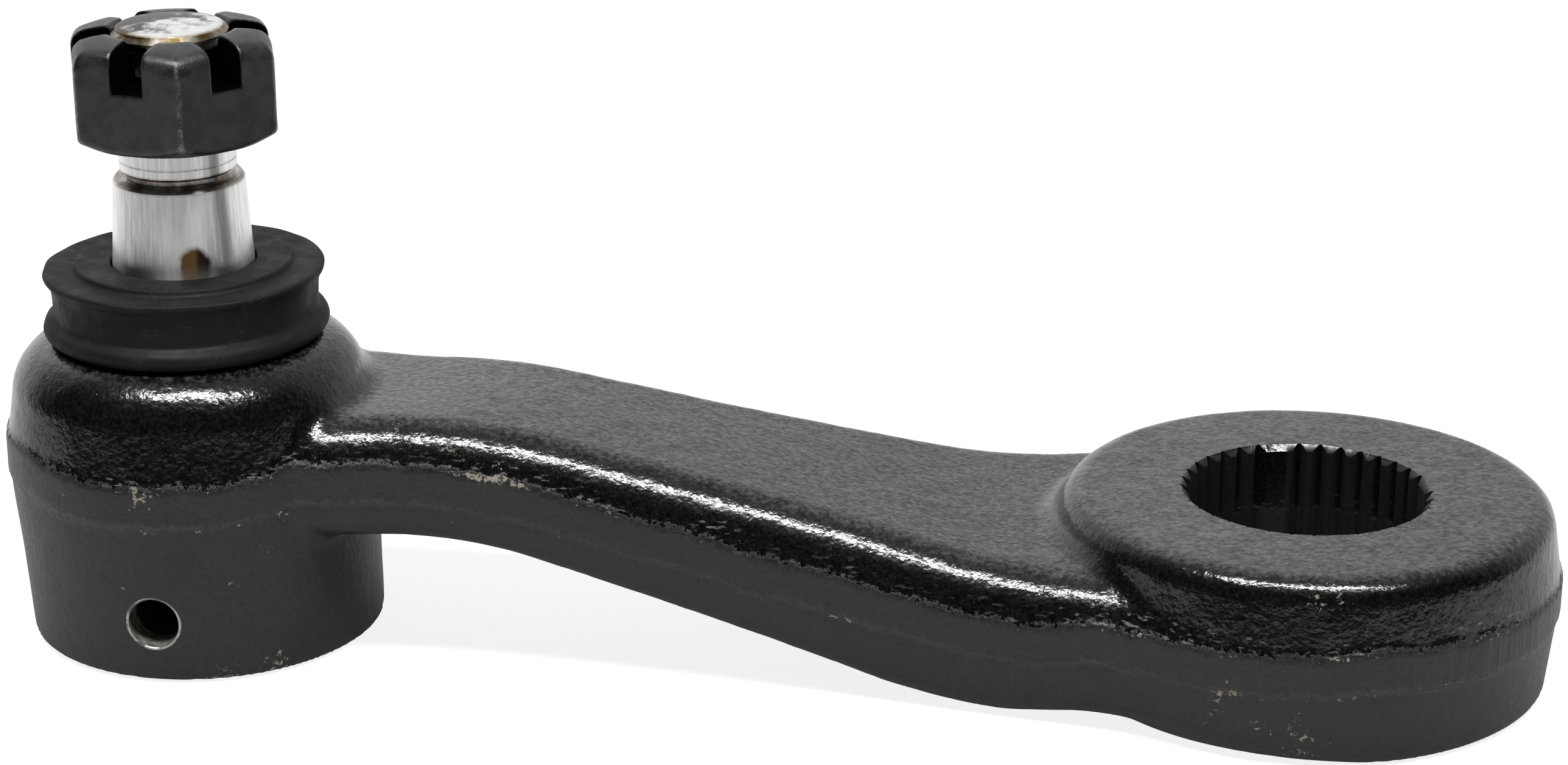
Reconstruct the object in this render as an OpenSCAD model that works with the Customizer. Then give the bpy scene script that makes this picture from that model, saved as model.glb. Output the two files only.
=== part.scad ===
// Pitman arm: a drop-forged steering arm with a splined eye at one end and a ball stud at the other.
// The origin is on the eye's axis, in the plane that the arm rests on. +X points from the ball stud
// to the eye, and +Z points up along the stud. Lengths are in millimetres, angles in degrees.

/* [Arm] */
// Distance from the eye's axis to the ball stud's axis
centre_distance = 152.4; // [148:0.1:175]
// Width of the beam at the ball housing, before it flares towards the eye
beam_width = 32.8; // [29:0.1:36]
// Height of the beam's top beside the ball housing
beam_ball_top = 34.4; // [32:0.1:35]
// Height of the beam's top beside the eye
beam_eye_top = 20.2; // [20:0.1:21.5]
// Thickness of the beam beside the ball housing
beam_ball_thickness = 16.1; // [14.5:0.1:18]
// Thickness of the beam beside the eye
beam_eye_thickness = 19.9; // [17:0.1:20.1]
// Edge radius along the beam's top
beam_top_radius = 4; // [2:0.1:4.4]
// Edge radius along the beam's underside
beam_bottom_radius = 2.8; // [2:0.1:4.4]
// Distance from the stud's axis to the first bend
first_bend = 43.2; // [40:0.1:50]
// Distance from the eye's axis to the second bend
second_bend = 40.8; // [38:0.1:48]
// Draft of the forged sides
draft = 6; // [3:0.5:7]
// Height of the band that trimming the flash leaves along the parting line
band_height = 5.7; // [4:0.1:6.2]
// Distance by which the trimmed band stands proud
flash_rise = 0.4; // [0.2:0.1:0.8]

/* [Splined eye] */
// Largest radius of the eye, at its parting line
eye_radius = 34.4; // [31:0.1:37]
// Height of the eye
eye_height = 25.2; // [23:0.1:28]
// Edge radius of the eye's top
eye_edge_radius = 3; // [1:0.1:4]
// Radius of the fillet between the eye and the beam's top
eye_fillet = 4; // [1:0.1:5]
// Diameter at the roots of the serrations
spline_root_d = 33.9; // [32.8:0.1:36]
// Diameter at the tips of the serrations
spline_tip_d = 31.7; // [30:0.1:32.5]
// Serration places round the eye
spline_places = 36; // [24:4:40]
// Places left solid as master teeth
spline_masters = 4; // [1:1:4]
// Direction of the first master tooth
spline_clocking = 12; // [0:1:90]
// Lead-in chamfer at both ends of the serrations
spline_chamfer = 0.8; // [0.4:0.1:1.4]

/* [Ball housing] */
// Largest radius of the housing, at its parting line
housing_radius = 25.4; // [24.5:0.1:27]
// Height of the housing
housing_height = 42; // [41:0.1:44]
// Height of the housing's parting line
housing_parting = 25.2; // [24:0.1:26.5]
// Radius of the housing's round shoulder
shoulder_radius = 6; // [4:0.1:6.5]
// Radius of the fillet between the housing and the beam's top
housing_fillet = 4; // [2:0.1:8]
// Radius of the ball seat
socket_radius = 15.6; // [15:0.05:16.2]
// Height of the ball's centre
ball_height = 22.5; // [22:0.1:23.5]
// Thickness of the rolled lip under the cover plate
lip_thickness = 1.8; // [1.2:0.1:2]
// Radius of the lip's opening
lip_radius = 17.2; // [16.4:0.1:18]
// Diameter of the grease port
grease_port_d = 6.2; // [5:0.1:7]
// Height of the grease port
grease_port_height = 8.5; // [8:0.1:9]

/* [Ball stud] */
// Radius of the stud's round head
head_radius = 12.5; // [11.5:0.1:13]
// Diameter of the stud's journal inside the half ball
journal_d = 17.1; // [16:0.1:17.6]
// Diameter of the stud's neck below the taper
neck_d = 16.4; // [15:0.1:16.8]
// Diameter at the small end of the taper
taper_small_d = 17.6; // [17:0.1:18]
// Diameter taken up for each millimetre of taper
taper_rate = 0.125; // [0.1:0.005:0.14]
// Height of the taper's small end
taper_top = 64; // [62:0.1:66]
// Length of the taper
taper_length = 16.4; // [14.6:0.1:17]
// Diameter of the thread
thread_d = 15.875; // [14:0.005:16.5]
// Length of the threaded end
thread_length = 18.5; // [17.5:0.1:23]
// Diameter of the cotter hole
cotter_d = 4; // [3:0.1:4.2]
// Most that the stud tilts to each side
tilt_limit = 18; // [10:1:18]

/* [Slotted nut] */
// Width across the nut's flats
nut_flats = 26.3; // [24:0.1:29]
// Height of the nut
nut_height = 14.5; // [12:0.1:14.6]
// Distance from the nut's top to the stud's end
nut_set_back = 0.9; // [0.6:0.1:1.5]
// Width of the nut's slots
slot_width = 4.8; // [4.4:0.1:5.5]
// Depth of the nut's slots
slot_depth = 6; // [5.6:0.1:7]
// Direction of one of the nut's corners
nut_angle = -11.7; // [-30:0.1:30]

/* [Dust boot] */
// Largest radius of the boot's top
boot_radius = 19.2; // [18.5:0.05:20]
// Radius of the boot's waist
boot_waist = 17.6; // [17.4:0.05:18.4]
// Largest radius of the boot's lower bead
boot_bead = 19.4; // [18.8:0.05:20]
// Height of the boot above the housing
boot_height = 10.3; // [9.5:0.1:11]
// Radius of the raised middle of the boot's top
boot_crown = 14.8; // [13:0.1:16]
// Wall thickness of the boot
boot_wall = 1.9; // [1.5:0.1:2.2]

/* [Clearances] */
// Radial clearance of a turning fit
running_clearance = 0.05; // [0.02:0.01:0.08]
// Clearance of the half ball in its seat
ball_clearance = 0.1; // [0.05:0.01:0.1]
// Clearance of the pressure seat and the cover plate in the housing
seat_clearance = 0.3; // [0.2:0.05:0.4]
// Clearance between the boot's lip and the stud
boot_clearance = 0.2; // [0.1:0.05:0.3]

/* [Hidden] */
$fn = 96;
// Overlap of cutting shapes past the faces that they cut
past = 1;

// Beam: half length over which a bend is rounded, and how far each lower bend lies nearer the stud
bend_reach = 9;
first_bend_lead = 1.1;
second_bend_lead = 6.9;
// Beam: exponent of the flare towards the eye, and the root flare against the housing
beam_flare = 2.9;
root_flare = 12;
root_reach = 38;
// Beam: where it starts and ends, inside the housing and the eye
beam_start = -centre_distance + housing_radius / 2;
beam_end = -eye_radius / 4;
beam_stations = 26;
fillet_stations = 6;
corner_steps = 5;
// Depth to which a root fillet sinks into the beam's top
fillet_sink = 0.15;
first_bend_x = -centre_distance + first_bend;
second_bend_x = -second_bend;
beam_ball_low = beam_ball_top - beam_ball_thickness;
beam_eye_low = beam_eye_top - beam_eye_thickness;
half_band = band_height / 2;

// Eye: parting line, radius of its two faces and lower edge
eye_parting = eye_height / 2;
eye_face = eye_radius - flash_rise - tan(draft) * (eye_parting - half_band);
eye_lower_edge = 1.2;
parting_rise = eye_parting - (beam_eye_top + beam_eye_low) / 2;
spline_pitch = 360 / spline_places;
master_step = spline_places / spline_masters;
// Half width of a serration's groove at the tips, as a share of the pitch there
groove_share = 0.36;
groove_half = groove_share * PI * spline_tip_d / spline_places;

// Housing: lower edge, ledge under the seat's bore and the stud's opening
housing_edge = 1.2;
foot_draft = draft / 3;
housing_foot = housing_radius - flash_rise - tan(foot_draft) * (housing_parting - half_band);
shoulder_side = housing_radius - flash_rise - tan(draft) * (housing_height - housing_parting - half_band);
plate_thickness = 2.6;
plate_radius = lip_radius + lip_thickness;
ledge_height = lip_thickness + plate_thickness;
half_ball_radius = socket_radius - ball_clearance;
half_ball_rise = 9.3;
throat_rise = half_ball_rise + seat_clearance;
throat_radius = sqrt(pow(socket_radius, 2) - pow(throat_rise, 2));
port_chamfer = 0.7;
// Room round the tilted neck at the housing's top, which sets the mouth's radius
mouth_room = 1.7;
mouth_radius = (housing_height - ball_height) * sin(tilt_limit) + neck_d / 2 * cos(tilt_limit) + mouth_room;

// Stud: flat of the head below the ball's centre, taper's large end and thread
head_cut = 2;
head_flat = ball_height - head_cut;
taper_bottom = taper_top - taper_length;
taper_large_d = taper_small_d + taper_rate * taper_length;
collar_chamfer = 1.4;
undercut_depth = 0.45;
undercut_d = thread_d - 2 * undercut_depth;
undercut_length = 2.7;
thread_chamfer = 1;
thread_start = taper_top + undercut_length;
stud_top = thread_start + thread_length;
cotter_rise = 0.6;
cotter_height = stud_top - nut_set_back - slot_depth + cotter_d / 2 + cotter_rise;

// Seat, spring and plate: the seat's skirt starts above the grease port
seat_cup_radius = head_radius + running_clearance;
seat_floor = 3.4;
seat_bottom = ball_height - head_radius - seat_floor;
seat_drop = 7.6;
seat_rim = ball_height - seat_drop;
seat_skirt = grease_port_height + grease_port_d / 2 + seat_clearance;
seat_step = 2.2;
seat_foot_radius = socket_radius - seat_step;
seat_hole_r = 2;
spring_inset = 0.5;
spring_outer = seat_foot_radius - spring_inset;
spring_inner = 5;
spring_sheet = 1.2;
plate_dish_radius = 11;
plate_dish_depth = 0.8;

// Nut
nut_top = stud_top - nut_set_back;
nut_bottom = nut_top - nut_height;
nut_corner = nut_flats / sqrt(3);
nut_chamfer_angle = 30;
nut_face_step = 1;
nut_face_radius = nut_flats / 2 - nut_face_step;
slot_pitch = 60;

// Boot
boot_bottom = housing_height;
boot_top = boot_bottom + boot_height;
boot_step = 0.8;
boot_rim = 2.2;
boot_bead_r = 1.6;
boot_hole = taper_small_d / 2 + taper_rate / 2 * (taper_top - boot_top + boot_rim) + boot_clearance;
boot_foot_gap = 0.6;
boot_foot = mouth_radius + boot_foot_gap;
boot_rim_round = 0.7;
boot_crown_round = 0.5;

// Smoothed ramp that is zero below -w and rises with slope one above w
function ease(u, w) = u <= -w ? 0 : u >= w ? u : pow(u + w, 2) / (4 * w);

// Share of the drop that the S-bend has made at x, for bends at two places
function bend(x, from, to) = (ease(x - from, bend_reach) - ease(x - to, bend_reach)) / (to - from);

// Heights of the beam's top and underside at x
function beam_top(x) =
    beam_ball_top + (beam_eye_top - beam_ball_top) * bend(x, first_bend_x, second_bend_x);
function beam_bottom(x) =
    let (from = first_bend_x - first_bend_lead, to = second_bend_x - second_bend_lead)
    beam_ball_low + (beam_eye_low - beam_ball_low) * bend(x, from, to);

// Place of x between the stud's axis and the eye's, from zero to one
function along(x) = (x + centre_distance) / centre_distance;

// Height of the beam's parting line: halfway up, rising to the eye's own parting line
function beam_parting(x) = (beam_top(x) + beam_bottom(x)) / 2 + parting_rise * pow(along(x), 2);

// Half width of the beam over its trimmed band
function beam_half(x) =
    let (root = max(0, 1 - (x + centre_distance) / root_reach))
    beam_width / 2 + (eye_radius - beam_width / 2) * pow(along(x), beam_flare) + root_flare * pow(root, 2);

// Quarter round at the corner (y, z) of a section, starting at the angle given
function corner(y, z, r, from) =
    [for (i = [0 : corner_steps]) let (a = from + 90 * i / corner_steps, up = from < 180 ? 1 : -1)
        [y - sign(y) * r + r * cos(a), z - up * r + r * sin(a)]];

// Outline of the beam at x: upright trimmed bands, drafted sides and rounded edges
function beam_section(x) =
    let (h = beam_half(x), top = beam_top(x), low = beam_bottom(x), side = h - flash_rise)
    let (upper = beam_parting(x) + half_band, lower = beam_parting(x) - half_band)
    let (t = side - (top - upper) * tan(draft), b = side - (lower - low) * tan(draft))
    concat([[h, lower], [h, upper], [side, upper]],
           corner(t, top, beam_top_radius, 0), corner(-t, top, beam_top_radius, 90),
           [[-side, upper], [-h, upper], [-h, lower], [-side, lower]],
           corner(-b, low, beam_bottom_radius, 180), corner(b, low, beam_bottom_radius, 270),
           [[side, lower]]);

// Outline of the room for a root fillet at x: over the flat of the beam's top, rounded at the sides
function fillet_section(x, fillet) =
    let (h = beam_half(x) - beam_top_radius, top = beam_top(x) + fillet, low = beam_top(x) - beam_top_radius)
    concat(corner(h, top, fillet, 0), corner(-h, top, fillet, 90), [[-h, low], [h, low]]);

// Mean of a ring's points
function middle(ring) = [for (p = ring) 1] * ring / len(ring);

// Solid through rings of points, each ring with the same number of points
module loft(rings) {
    n = len(rings[0]);
    last = len(rings) - 1;
    walls = [for (s = [0 : last - 1], i = [0 : n - 1], half = [0, 1])
        let (a = s * n + i, b = s * n + (i + 1) % n)
        half == 0 ? [a, a + n, b] : [b, a + n, b + n]];
    start = n * (last + 1);
    end = start + 1;
    caps = [for (i = [0 : n - 1]) let (j = (i + 1) % n)
        each [[start, i, j], [end, last * n + j, last * n + i]]];
    points = [for (ring = rings) each ring];
    polyhedron(concat(points, [middle(rings[0]), middle(rings[last])]), concat(walls, caps), convexity = 4);
}

// Share of an edge's radius from its corner to its middle, for a side that leans in by an angle
function edge_share(lean) = (1 - sin(lean)) / cos(lean);

// Middle of the round of an outer corner at (r, z), under a flat top and beside a leaning side
function edge_middle(r, z, radius, lean) = [r - radius * edge_share(lean), z - radius];

// Corner less its round, to cut an outer corner at (r, z) of a profile
module round_cut(r, z, radius, lean) {
    reach = radius + past;
    translate(edge_middle(r, z, radius, lean)) difference() {
        polygon([[0, 0], reach * [cos(lean), sin(lean)], reach * [edge_share(lean), 1], [0, reach]]);
        circle(radius);
    }
}

// Outline of a drafted forging of revolution with its trimmed band
module forged_profile(radius, height, parting, foot, top) {
    side = radius - flash_rise;
    polygon([[0, 0], [foot, 0], [side, parting - half_band], [radius, parting - half_band],
             [radius, parting + half_band], [side, parting + half_band], [top, height], [0, height]]);
}

module beam() {
    loft([for (i = [0 : beam_stations])
        let (x = beam_start + (beam_end - beam_start) * i / beam_stations)
        [for (p = beam_section(x)) [x, p[0], p[1]]]]);
}

// Fillet sunk a little into the beam's top and the round of an upper edge, over a stretch of the beam
module root_fillet(axis_x, edge, radius, fillet, top, from, to) {
    rise = top - fillet_sink + fillet;
    hollow = [edge[0] + sqrt(pow(fillet + radius - fillet_sink, 2) - pow(rise - edge[1], 2)), rise];
    low = min(top - fillet_sink, edge[1]) - past;
    intersection() {
        translate([axis_x, 0, 0]) rotate_extrude() difference() {
            polygon([[edge[0], low], [hollow[0], low], hollow, edge]);
            translate(hollow) circle(fillet);
        }
        loft([for (i = [0 : fillet_stations])
            let (x = from + (to - from) * i / fillet_stations)
            [for (p = fillet_section(x, fillet)) [x, p[0], p[1]]]]);
    }
}

module eye_outer() {
    rotate_extrude() difference() {
        forged_profile(eye_radius, eye_height, eye_parting, eye_face, eye_face);
        round_cut(eye_face, eye_height, eye_edge_radius, draft);
        mirror([0, 1]) round_cut(eye_face, 0, eye_lower_edge, draft);
    }
}

module housing_outer() {
    rotate_extrude() difference() {
        forged_profile(housing_radius, housing_height, housing_parting, housing_foot, shoulder_side);
        round_cut(shoulder_side, housing_height, shoulder_radius, draft);
        mirror([0, 1]) round_cut(housing_foot, 0, housing_edge, foot_draft);
    }
}

// Serrated hole through the eye, with the master teeth left solid and a lead-in at both ends
module spline_cut() {
    translate([0, 0, -past]) linear_extrude(eye_height + 2 * past) {
        circle(d = spline_tip_d);
        for (i = [0 : spline_places - 1]) if (i % master_step != 0)
            rotate(spline_clocking + i * spline_pitch)
                polygon([[0, -groove_half], [spline_tip_d / 2, -groove_half], [spline_root_d / 2, 0],
                         [spline_tip_d / 2, groove_half], [0, groove_half]]);
    }
    for (z = [0, 1]) translate([0, 0, z * eye_height]) mirror([0, 0, z])
        translate([0, 0, -past])
            cylinder(h = past + spline_chamfer, r1 = spline_tip_d / 2 + spline_chamfer + past,
                     r2 = spline_tip_d / 2);
}

// Hollow of the housing: lip, cover plate's seat, bore, ball seat and flared mouth
module socket_cut() {
    rotate_extrude() {
        translate([0, -past]) square([lip_radius, ledge_height]);
        translate([0, lip_thickness]) square([plate_radius, plate_thickness]);
        translate([0, lip_thickness]) square([socket_radius, ball_height - lip_thickness]);
        intersection() {
            translate([0, ball_height]) circle(socket_radius);
            translate([0, ball_height - past]) square([socket_radius, throat_rise + past]);
        }
        polygon([[0, ball_height + throat_rise], [throat_radius, ball_height + throat_rise],
                 [mouth_radius, housing_height], [mouth_radius, housing_height + past],
                 [0, housing_height + past]]);
    }
}

// Port for a grease fitting, with its countersink, through the housing's front wall
module grease_cut() {
    face = housing_foot + tan(foot_draft) * grease_port_height;
    translate([0, 0, grease_port_height]) rotate([90, 0, 0]) {
        cylinder(h = housing_radius + past, d = grease_port_d);
        translate([0, 0, face - port_chamfer])
            cylinder(h = port_chamfer + past, d1 = grease_port_d,
                     d2 = grease_port_d + 2 * (port_chamfer + past));
    }
}

module at_stud() {
    translate([-centre_distance, 0, 0]) children();
}

module arm_forging() {
    color("#26272a") difference() {
        union() {
            eye_outer();
            at_stud() housing_outer();
            beam();
            root_fillet(0, edge_middle(eye_face, eye_height, eye_edge_radius, draft), eye_edge_radius,
                        eye_fillet, beam_eye_top, -eye_radius - eye_fillet - past, beam_end);
            root_fillet(-centre_distance, edge_middle(shoulder_side, housing_height, shoulder_radius, draft),
                        shoulder_radius, housing_fillet, beam_ball_top, beam_start,
                        housing_radius + housing_fillet + past - centre_distance);
        }
        spline_cut();
        at_stud() socket_cut();
        at_stud() grease_cut();
    }
}

module cover_plate() {
    color("#5c5e61") at_stud() rotate_extrude() difference() {
        translate([0, lip_thickness]) square([plate_radius - seat_clearance, plate_thickness]);
        translate([0, lip_thickness - past]) square([plate_dish_radius, plate_dish_depth + past]);
    }
}

module preload_spring() {
    gap = seat_bottom - running_clearance;
    color("#8b8d90") at_stud() rotate_extrude()
        polygon([[spring_inner, gap - spring_sheet], [spring_outer, ledge_height],
                 [spring_outer, ledge_height + spring_sheet], [spring_inner, gap]]);
}

module pressure_seat() {
    color("#77726a") at_stud() rotate_extrude() difference() {
        union() {
            translate([0, seat_bottom]) square([seat_foot_radius, seat_rim - seat_bottom]);
            translate([0, seat_skirt]) square([socket_radius - seat_clearance, seat_rim - seat_skirt]);
        }
        translate([0, ball_height]) circle(seat_cup_radius);
        translate([0, seat_bottom - past]) square([seat_hole_r, ball_height]);
    }
}

module half_ball() {
    color("#8a8074") at_stud() rotate_extrude() difference() {
        intersection() {
            translate([0, ball_height]) circle(half_ball_radius);
            translate([0, head_flat + running_clearance])
                square([half_ball_radius, ball_height + half_ball_rise - head_flat - running_clearance]);
        }
        translate([0, head_flat - past]) square([journal_d / 2 + running_clearance, housing_height]);
    }
}

// Stud with a round head, a journal for the half ball, a neck, the taper and the threaded end
module stud_profile() {
    journal_top = ball_height + half_ball_rise;
    intersection() {
        translate([0, ball_height]) circle(head_radius);
        translate([0, ball_height - head_radius]) square([head_radius, head_radius - head_cut]);
    }
    polygon([[0, head_flat - past], [journal_d / 2, head_flat - past], [journal_d / 2, journal_top],
             [neck_d / 2, journal_top], [neck_d / 2, taper_bottom - collar_chamfer],
             [taper_large_d / 2, taper_bottom], [taper_small_d / 2, taper_top], [undercut_d / 2, taper_top],
             [undercut_d / 2, thread_start - thread_chamfer / 2], [thread_d / 2, thread_start],
             [thread_d / 2, stud_top - thread_chamfer], [thread_d / 2 - thread_chamfer, stud_top],
             [0, stud_top]]);
}

module ball_stud() {
    color("#b4b2ac") at_stud() difference() {
        rotate_extrude() stud_profile();
        translate([0, 0, cotter_height]) rotate([0, 90, nut_angle + 90])
            cylinder(h = 2 * thread_d, d = cotter_d, center = true);
    }
}

module dust_boot() {
    color("#2b2b2c") at_stud() rotate_extrude() difference() {
        union() {
            translate([0, boot_bottom]) square([boot_bead - boot_bead_r / 2, boot_bead_r]);
            translate([boot_bead - boot_bead_r, boot_bottom + boot_bead_r]) circle(boot_bead_r);
            translate([0, boot_bottom + boot_bead_r])
                square([boot_waist, boot_height - boot_step - boot_bead_r]);
            translate([0, boot_top - boot_step - boot_rim]) square([boot_radius, boot_rim]);
            translate([0, boot_top - boot_rim]) square([boot_crown, boot_rim]);
        }
        translate([0, boot_bottom + boot_wall])
            square([boot_waist - boot_wall, boot_height - boot_rim - boot_wall]);
        round_cut(boot_crown, boot_top, boot_crown_round, 0);
        round_cut(boot_radius, boot_top - boot_step, boot_rim_round, 0);
        translate([0, boot_top - boot_step - boot_rim]) mirror([0, 1])
            round_cut(boot_radius, 0, boot_rim_round, 0);
        translate([0, boot_bottom - past]) square([boot_foot, boot_wall + 2 * past]);
        square([boot_hole, boot_top + past]);
    }
}

module castle_nut() {
    drop = (nut_corner - nut_face_radius) * tan(nut_chamfer_angle);
    color("#4c4b48") at_stud() rotate([0, 0, nut_angle]) difference() {
        intersection() {
            translate([0, 0, nut_bottom]) cylinder(h = nut_height, r = nut_corner, $fn = 6);
            rotate_extrude()
                polygon([[0, nut_bottom], [nut_face_radius, nut_bottom], [nut_corner, nut_bottom + drop],
                         [nut_corner, nut_top - drop], [nut_face_radius, nut_top], [0, nut_top]]);
        }
        translate([0, 0, nut_bottom - past])
            cylinder(h = nut_height + 2 * past, d = thread_d + 2 * running_clearance);
        for (i = [0 : 2]) rotate([0, 0, slot_pitch * (i + 1 / 2)])
            translate([-nut_corner, -slot_width / 2, nut_top - slot_depth])
                cube([2 * nut_corner, slot_width, slot_depth + past]);
    }
}

arm_forging();
cover_plate();
preload_spring();
pressure_seat();
half_ball();
ball_stud();
dust_boot();
castle_nut();
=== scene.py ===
import math

import bpy
import numpy as np
from mathutils import Matrix, Vector


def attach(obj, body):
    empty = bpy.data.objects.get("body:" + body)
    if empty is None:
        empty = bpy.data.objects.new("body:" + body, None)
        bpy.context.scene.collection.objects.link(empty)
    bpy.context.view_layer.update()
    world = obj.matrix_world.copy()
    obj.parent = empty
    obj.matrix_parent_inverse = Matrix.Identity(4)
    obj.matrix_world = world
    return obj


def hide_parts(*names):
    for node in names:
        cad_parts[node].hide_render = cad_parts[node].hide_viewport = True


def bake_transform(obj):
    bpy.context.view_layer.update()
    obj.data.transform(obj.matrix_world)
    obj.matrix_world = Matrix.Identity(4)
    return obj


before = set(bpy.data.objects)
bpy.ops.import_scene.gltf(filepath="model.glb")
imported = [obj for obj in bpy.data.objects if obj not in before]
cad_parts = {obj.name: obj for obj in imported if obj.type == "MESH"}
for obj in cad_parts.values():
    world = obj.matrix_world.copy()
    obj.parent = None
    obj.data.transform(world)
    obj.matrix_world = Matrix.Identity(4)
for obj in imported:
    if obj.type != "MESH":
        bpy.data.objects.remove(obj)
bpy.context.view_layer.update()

# Sizes in millimetres, and angles, as in the part's source apart from a few that are fitted to the photo
MM = 0.001
ARM = 152.4
BEAM_WIDTH = 32.8
BALL_TOP = 34.4
EYE_TOP = 20.2
BALL_LOW = BALL_TOP - 16.1
EYE_LOW = EYE_TOP - 19.9
FIRST_BEND = -ARM + 43.2
SECOND_BEND = -40.8
FIRST_LEAD = 1.1
SECOND_LEAD = 6.9
BEND_REACH = 9
BEAM_FLARE = 2.9
LOW_RISE = 1.3
LOW_RISE_SPAN = (-40, -26)
ROOT_ROUND = 40
DRAFT = math.radians(6)
UPPER_DRAFT = math.radians(9)
FOOT_DRAFT = math.radians(2)
HALF_BAND = 2.85
FLASH_RISE = 0.4
EYE_RADIUS = 34.4
EYE_HEIGHT = 25.2
EYE_PARTING = EYE_HEIGHT / 2
SPLINE_ROOT = 16.95
SPLINE_TIP = 15.85
SPLINE_PLACES = 36
SPLINE_MASTERS = 4
SPLINE_CLOCKING = 12
SPLINE_CHAMFER = 0.8
GROOVE_SHARE = 0.36
HOUSING_RADIUS = 25.4
HOUSING_HEIGHT = 42
SHOULDER = 6.8
SOCKET_RADIUS = 15.6
BALL_HEIGHT = 22.5
LIP_THICKNESS = 1.8
LIP_RADIUS = 17.2
PLATE_THICKNESS = 2.6
PLATE_RADIUS = LIP_RADIUS + LIP_THICKNESS
THROAT_RISE = 9.6
MOUTH_RADIUS = 15.52
PORT_RADIUS = 3.45
PORT_HEIGHT = 8.5
PORT_FACE = 24.6
PORT_CHAMFER = 0.3
HEAD_RADIUS = 12.5
HEAD_FLAT = BALL_HEIGHT - 2
JOURNAL_RADIUS = 8.55
JOURNAL_TOP = BALL_HEIGHT + 9.3
NECK_RADIUS = 8.2
TAPER_TOP = 64
TAPER_BOTTOM = 47.6
TAPER_SMALL = 8.8
TAPER_LARGE = 9.825
COLLAR_CHAMFER = 1.4
THREAD_RADIUS = 15.875 / 2
THREAD_PITCH = 25.4 / 18
THREAD_DEPTH = 0.8
THREAD_START = 69.2
SHANK_RADIUS = THREAD_RADIUS - 0.04
GROOVE_RADIUS = THREAD_RADIUS - 0.45
GROOVE_TOP = 65.1
SCORE_HEIGHT = 66.5
SCORE_DEPTH = 0.18
STUD_TOP = 85.2
COTTER_RADIUS = 2
COTTER_HEIGHT = 80.9
NUT_ANGLE = math.radians(-11.7)
NUT_HALF_FLATS = 13.15
NUT_CORNER = NUT_HALF_FLATS * 2 / math.sqrt(3)
NUT_TOP = 84.3
NUT_BOTTOM = 69.6
NUT_FACE = NUT_HALF_FLATS - 1
NUT_FOOT = NUT_HALF_FLATS - 0.5
NUT_BORE = THREAD_RADIUS + 0.05
SLOT_HALF = 2.15
SLOT_FLOOR = NUT_TOP - 6
PAST = 1.0
TINY = 1e-6
NOISE_PERIOD = 64


# Signed distances on a grid, in millimetres
def ease(u, w):
    return np.where(u <= -w, 0, np.where(u >= w, u, (u + w) ** 2 / (4 * w)))


def bend(x, start, end):
    return (ease(x - start, BEND_REACH) - ease(x - end, BEND_REACH)) / (end - start)


def along(x):
    return np.clip((x + ARM) / ARM, 0, 1)


def beam_top(x):
    return BALL_TOP + (EYE_TOP - BALL_TOP) * bend(x, FIRST_BEND, SECOND_BEND)


def beam_low(x):
    fall = bend(x, FIRST_BEND - FIRST_LEAD, SECOND_BEND - SECOND_LEAD)
    return BALL_LOW + (EYE_LOW - BALL_LOW) * fall + LOW_RISE * smooth(x, *LOW_RISE_SPAN)


def beam_half(x):
    return BEAM_WIDTH / 2 + (EYE_RADIUS - BEAM_WIDTH / 2) * along(x) ** BEAM_FLARE


def beam_parting(x):
    rise = EYE_PARTING - (EYE_TOP + EYE_LOW) / 2
    return (beam_top(x) + beam_low(x)) / 2 + rise * along(x) ** 2


def smooth(value, low, high):
    t = np.clip((value - low) / (high - low), 0, 1)
    return t * t * (3 - 2 * t)


def slope(curve, x):
    return curve(x + 0.5) - curve(x - 0.5)


def round_and(a, b, radius):
    inner = np.sqrt(np.maximum(a + radius, 0) ** 2 + np.maximum(b + radius, 0) ** 2)
    return np.minimum(-radius, np.maximum(a, b)) + inner


def join(a, b, radius):
    """Union with a fillet, which fades where the two surfaces run alongside each other."""
    da = np.gradient(a)
    db = np.gradient(b)
    dot = sum(p * q for p, q in zip(da, db))
    size = np.sqrt(sum(p * p for p in da) * sum(q * q for q in db)) + 1e-9
    k = radius * np.clip(1 - dot / size, 0, 1)
    inner = np.sqrt(np.maximum(k - a, 0) ** 2 + np.maximum(k - b, 0) ** 2)
    return np.maximum(k, np.minimum(a, b)) - inner


def noise(x, y, z, cell, seed):
    """Smooth lattice noise from 0 to 1."""
    table = np.random.default_rng(seed).random((NOISE_PERIOD,) * 3, dtype=np.float32)
    axes = []
    for value in (x, y, z):
        t = np.asarray(value, np.float32) / cell
        low = np.floor(t).astype(np.int64)
        f = t - low
        axes.append((low % NOISE_PERIOD, (low + 1) % NOISE_PERIOD, f * f * (3 - 2 * f)))
    (x0, x1, fx), (y0, y1, fy), (z0, z1, fz) = axes
    layers = []
    for k in (z0, z1):
        near = table[x0, y0, k] * (1 - fx) + table[x1, y0, k] * fx
        far = table[x0, y1, k] * (1 - fx) + table[x1, y1, k] * fx
        layers.append(near * (1 - fy) + far * fy)
    return layers[0] * (1 - fz) + layers[1] * fz


def grid(low, high, step):
    counts = [int(math.ceil((h - l) / step)) + 1 for l, h in zip(low, high)]
    lines = [l + step * np.arange(n, dtype=np.float32) for l, n in zip(low, counts)]
    return lines[0][:, None, None], lines[1][None, :, None], lines[2][None, None, :]


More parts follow.
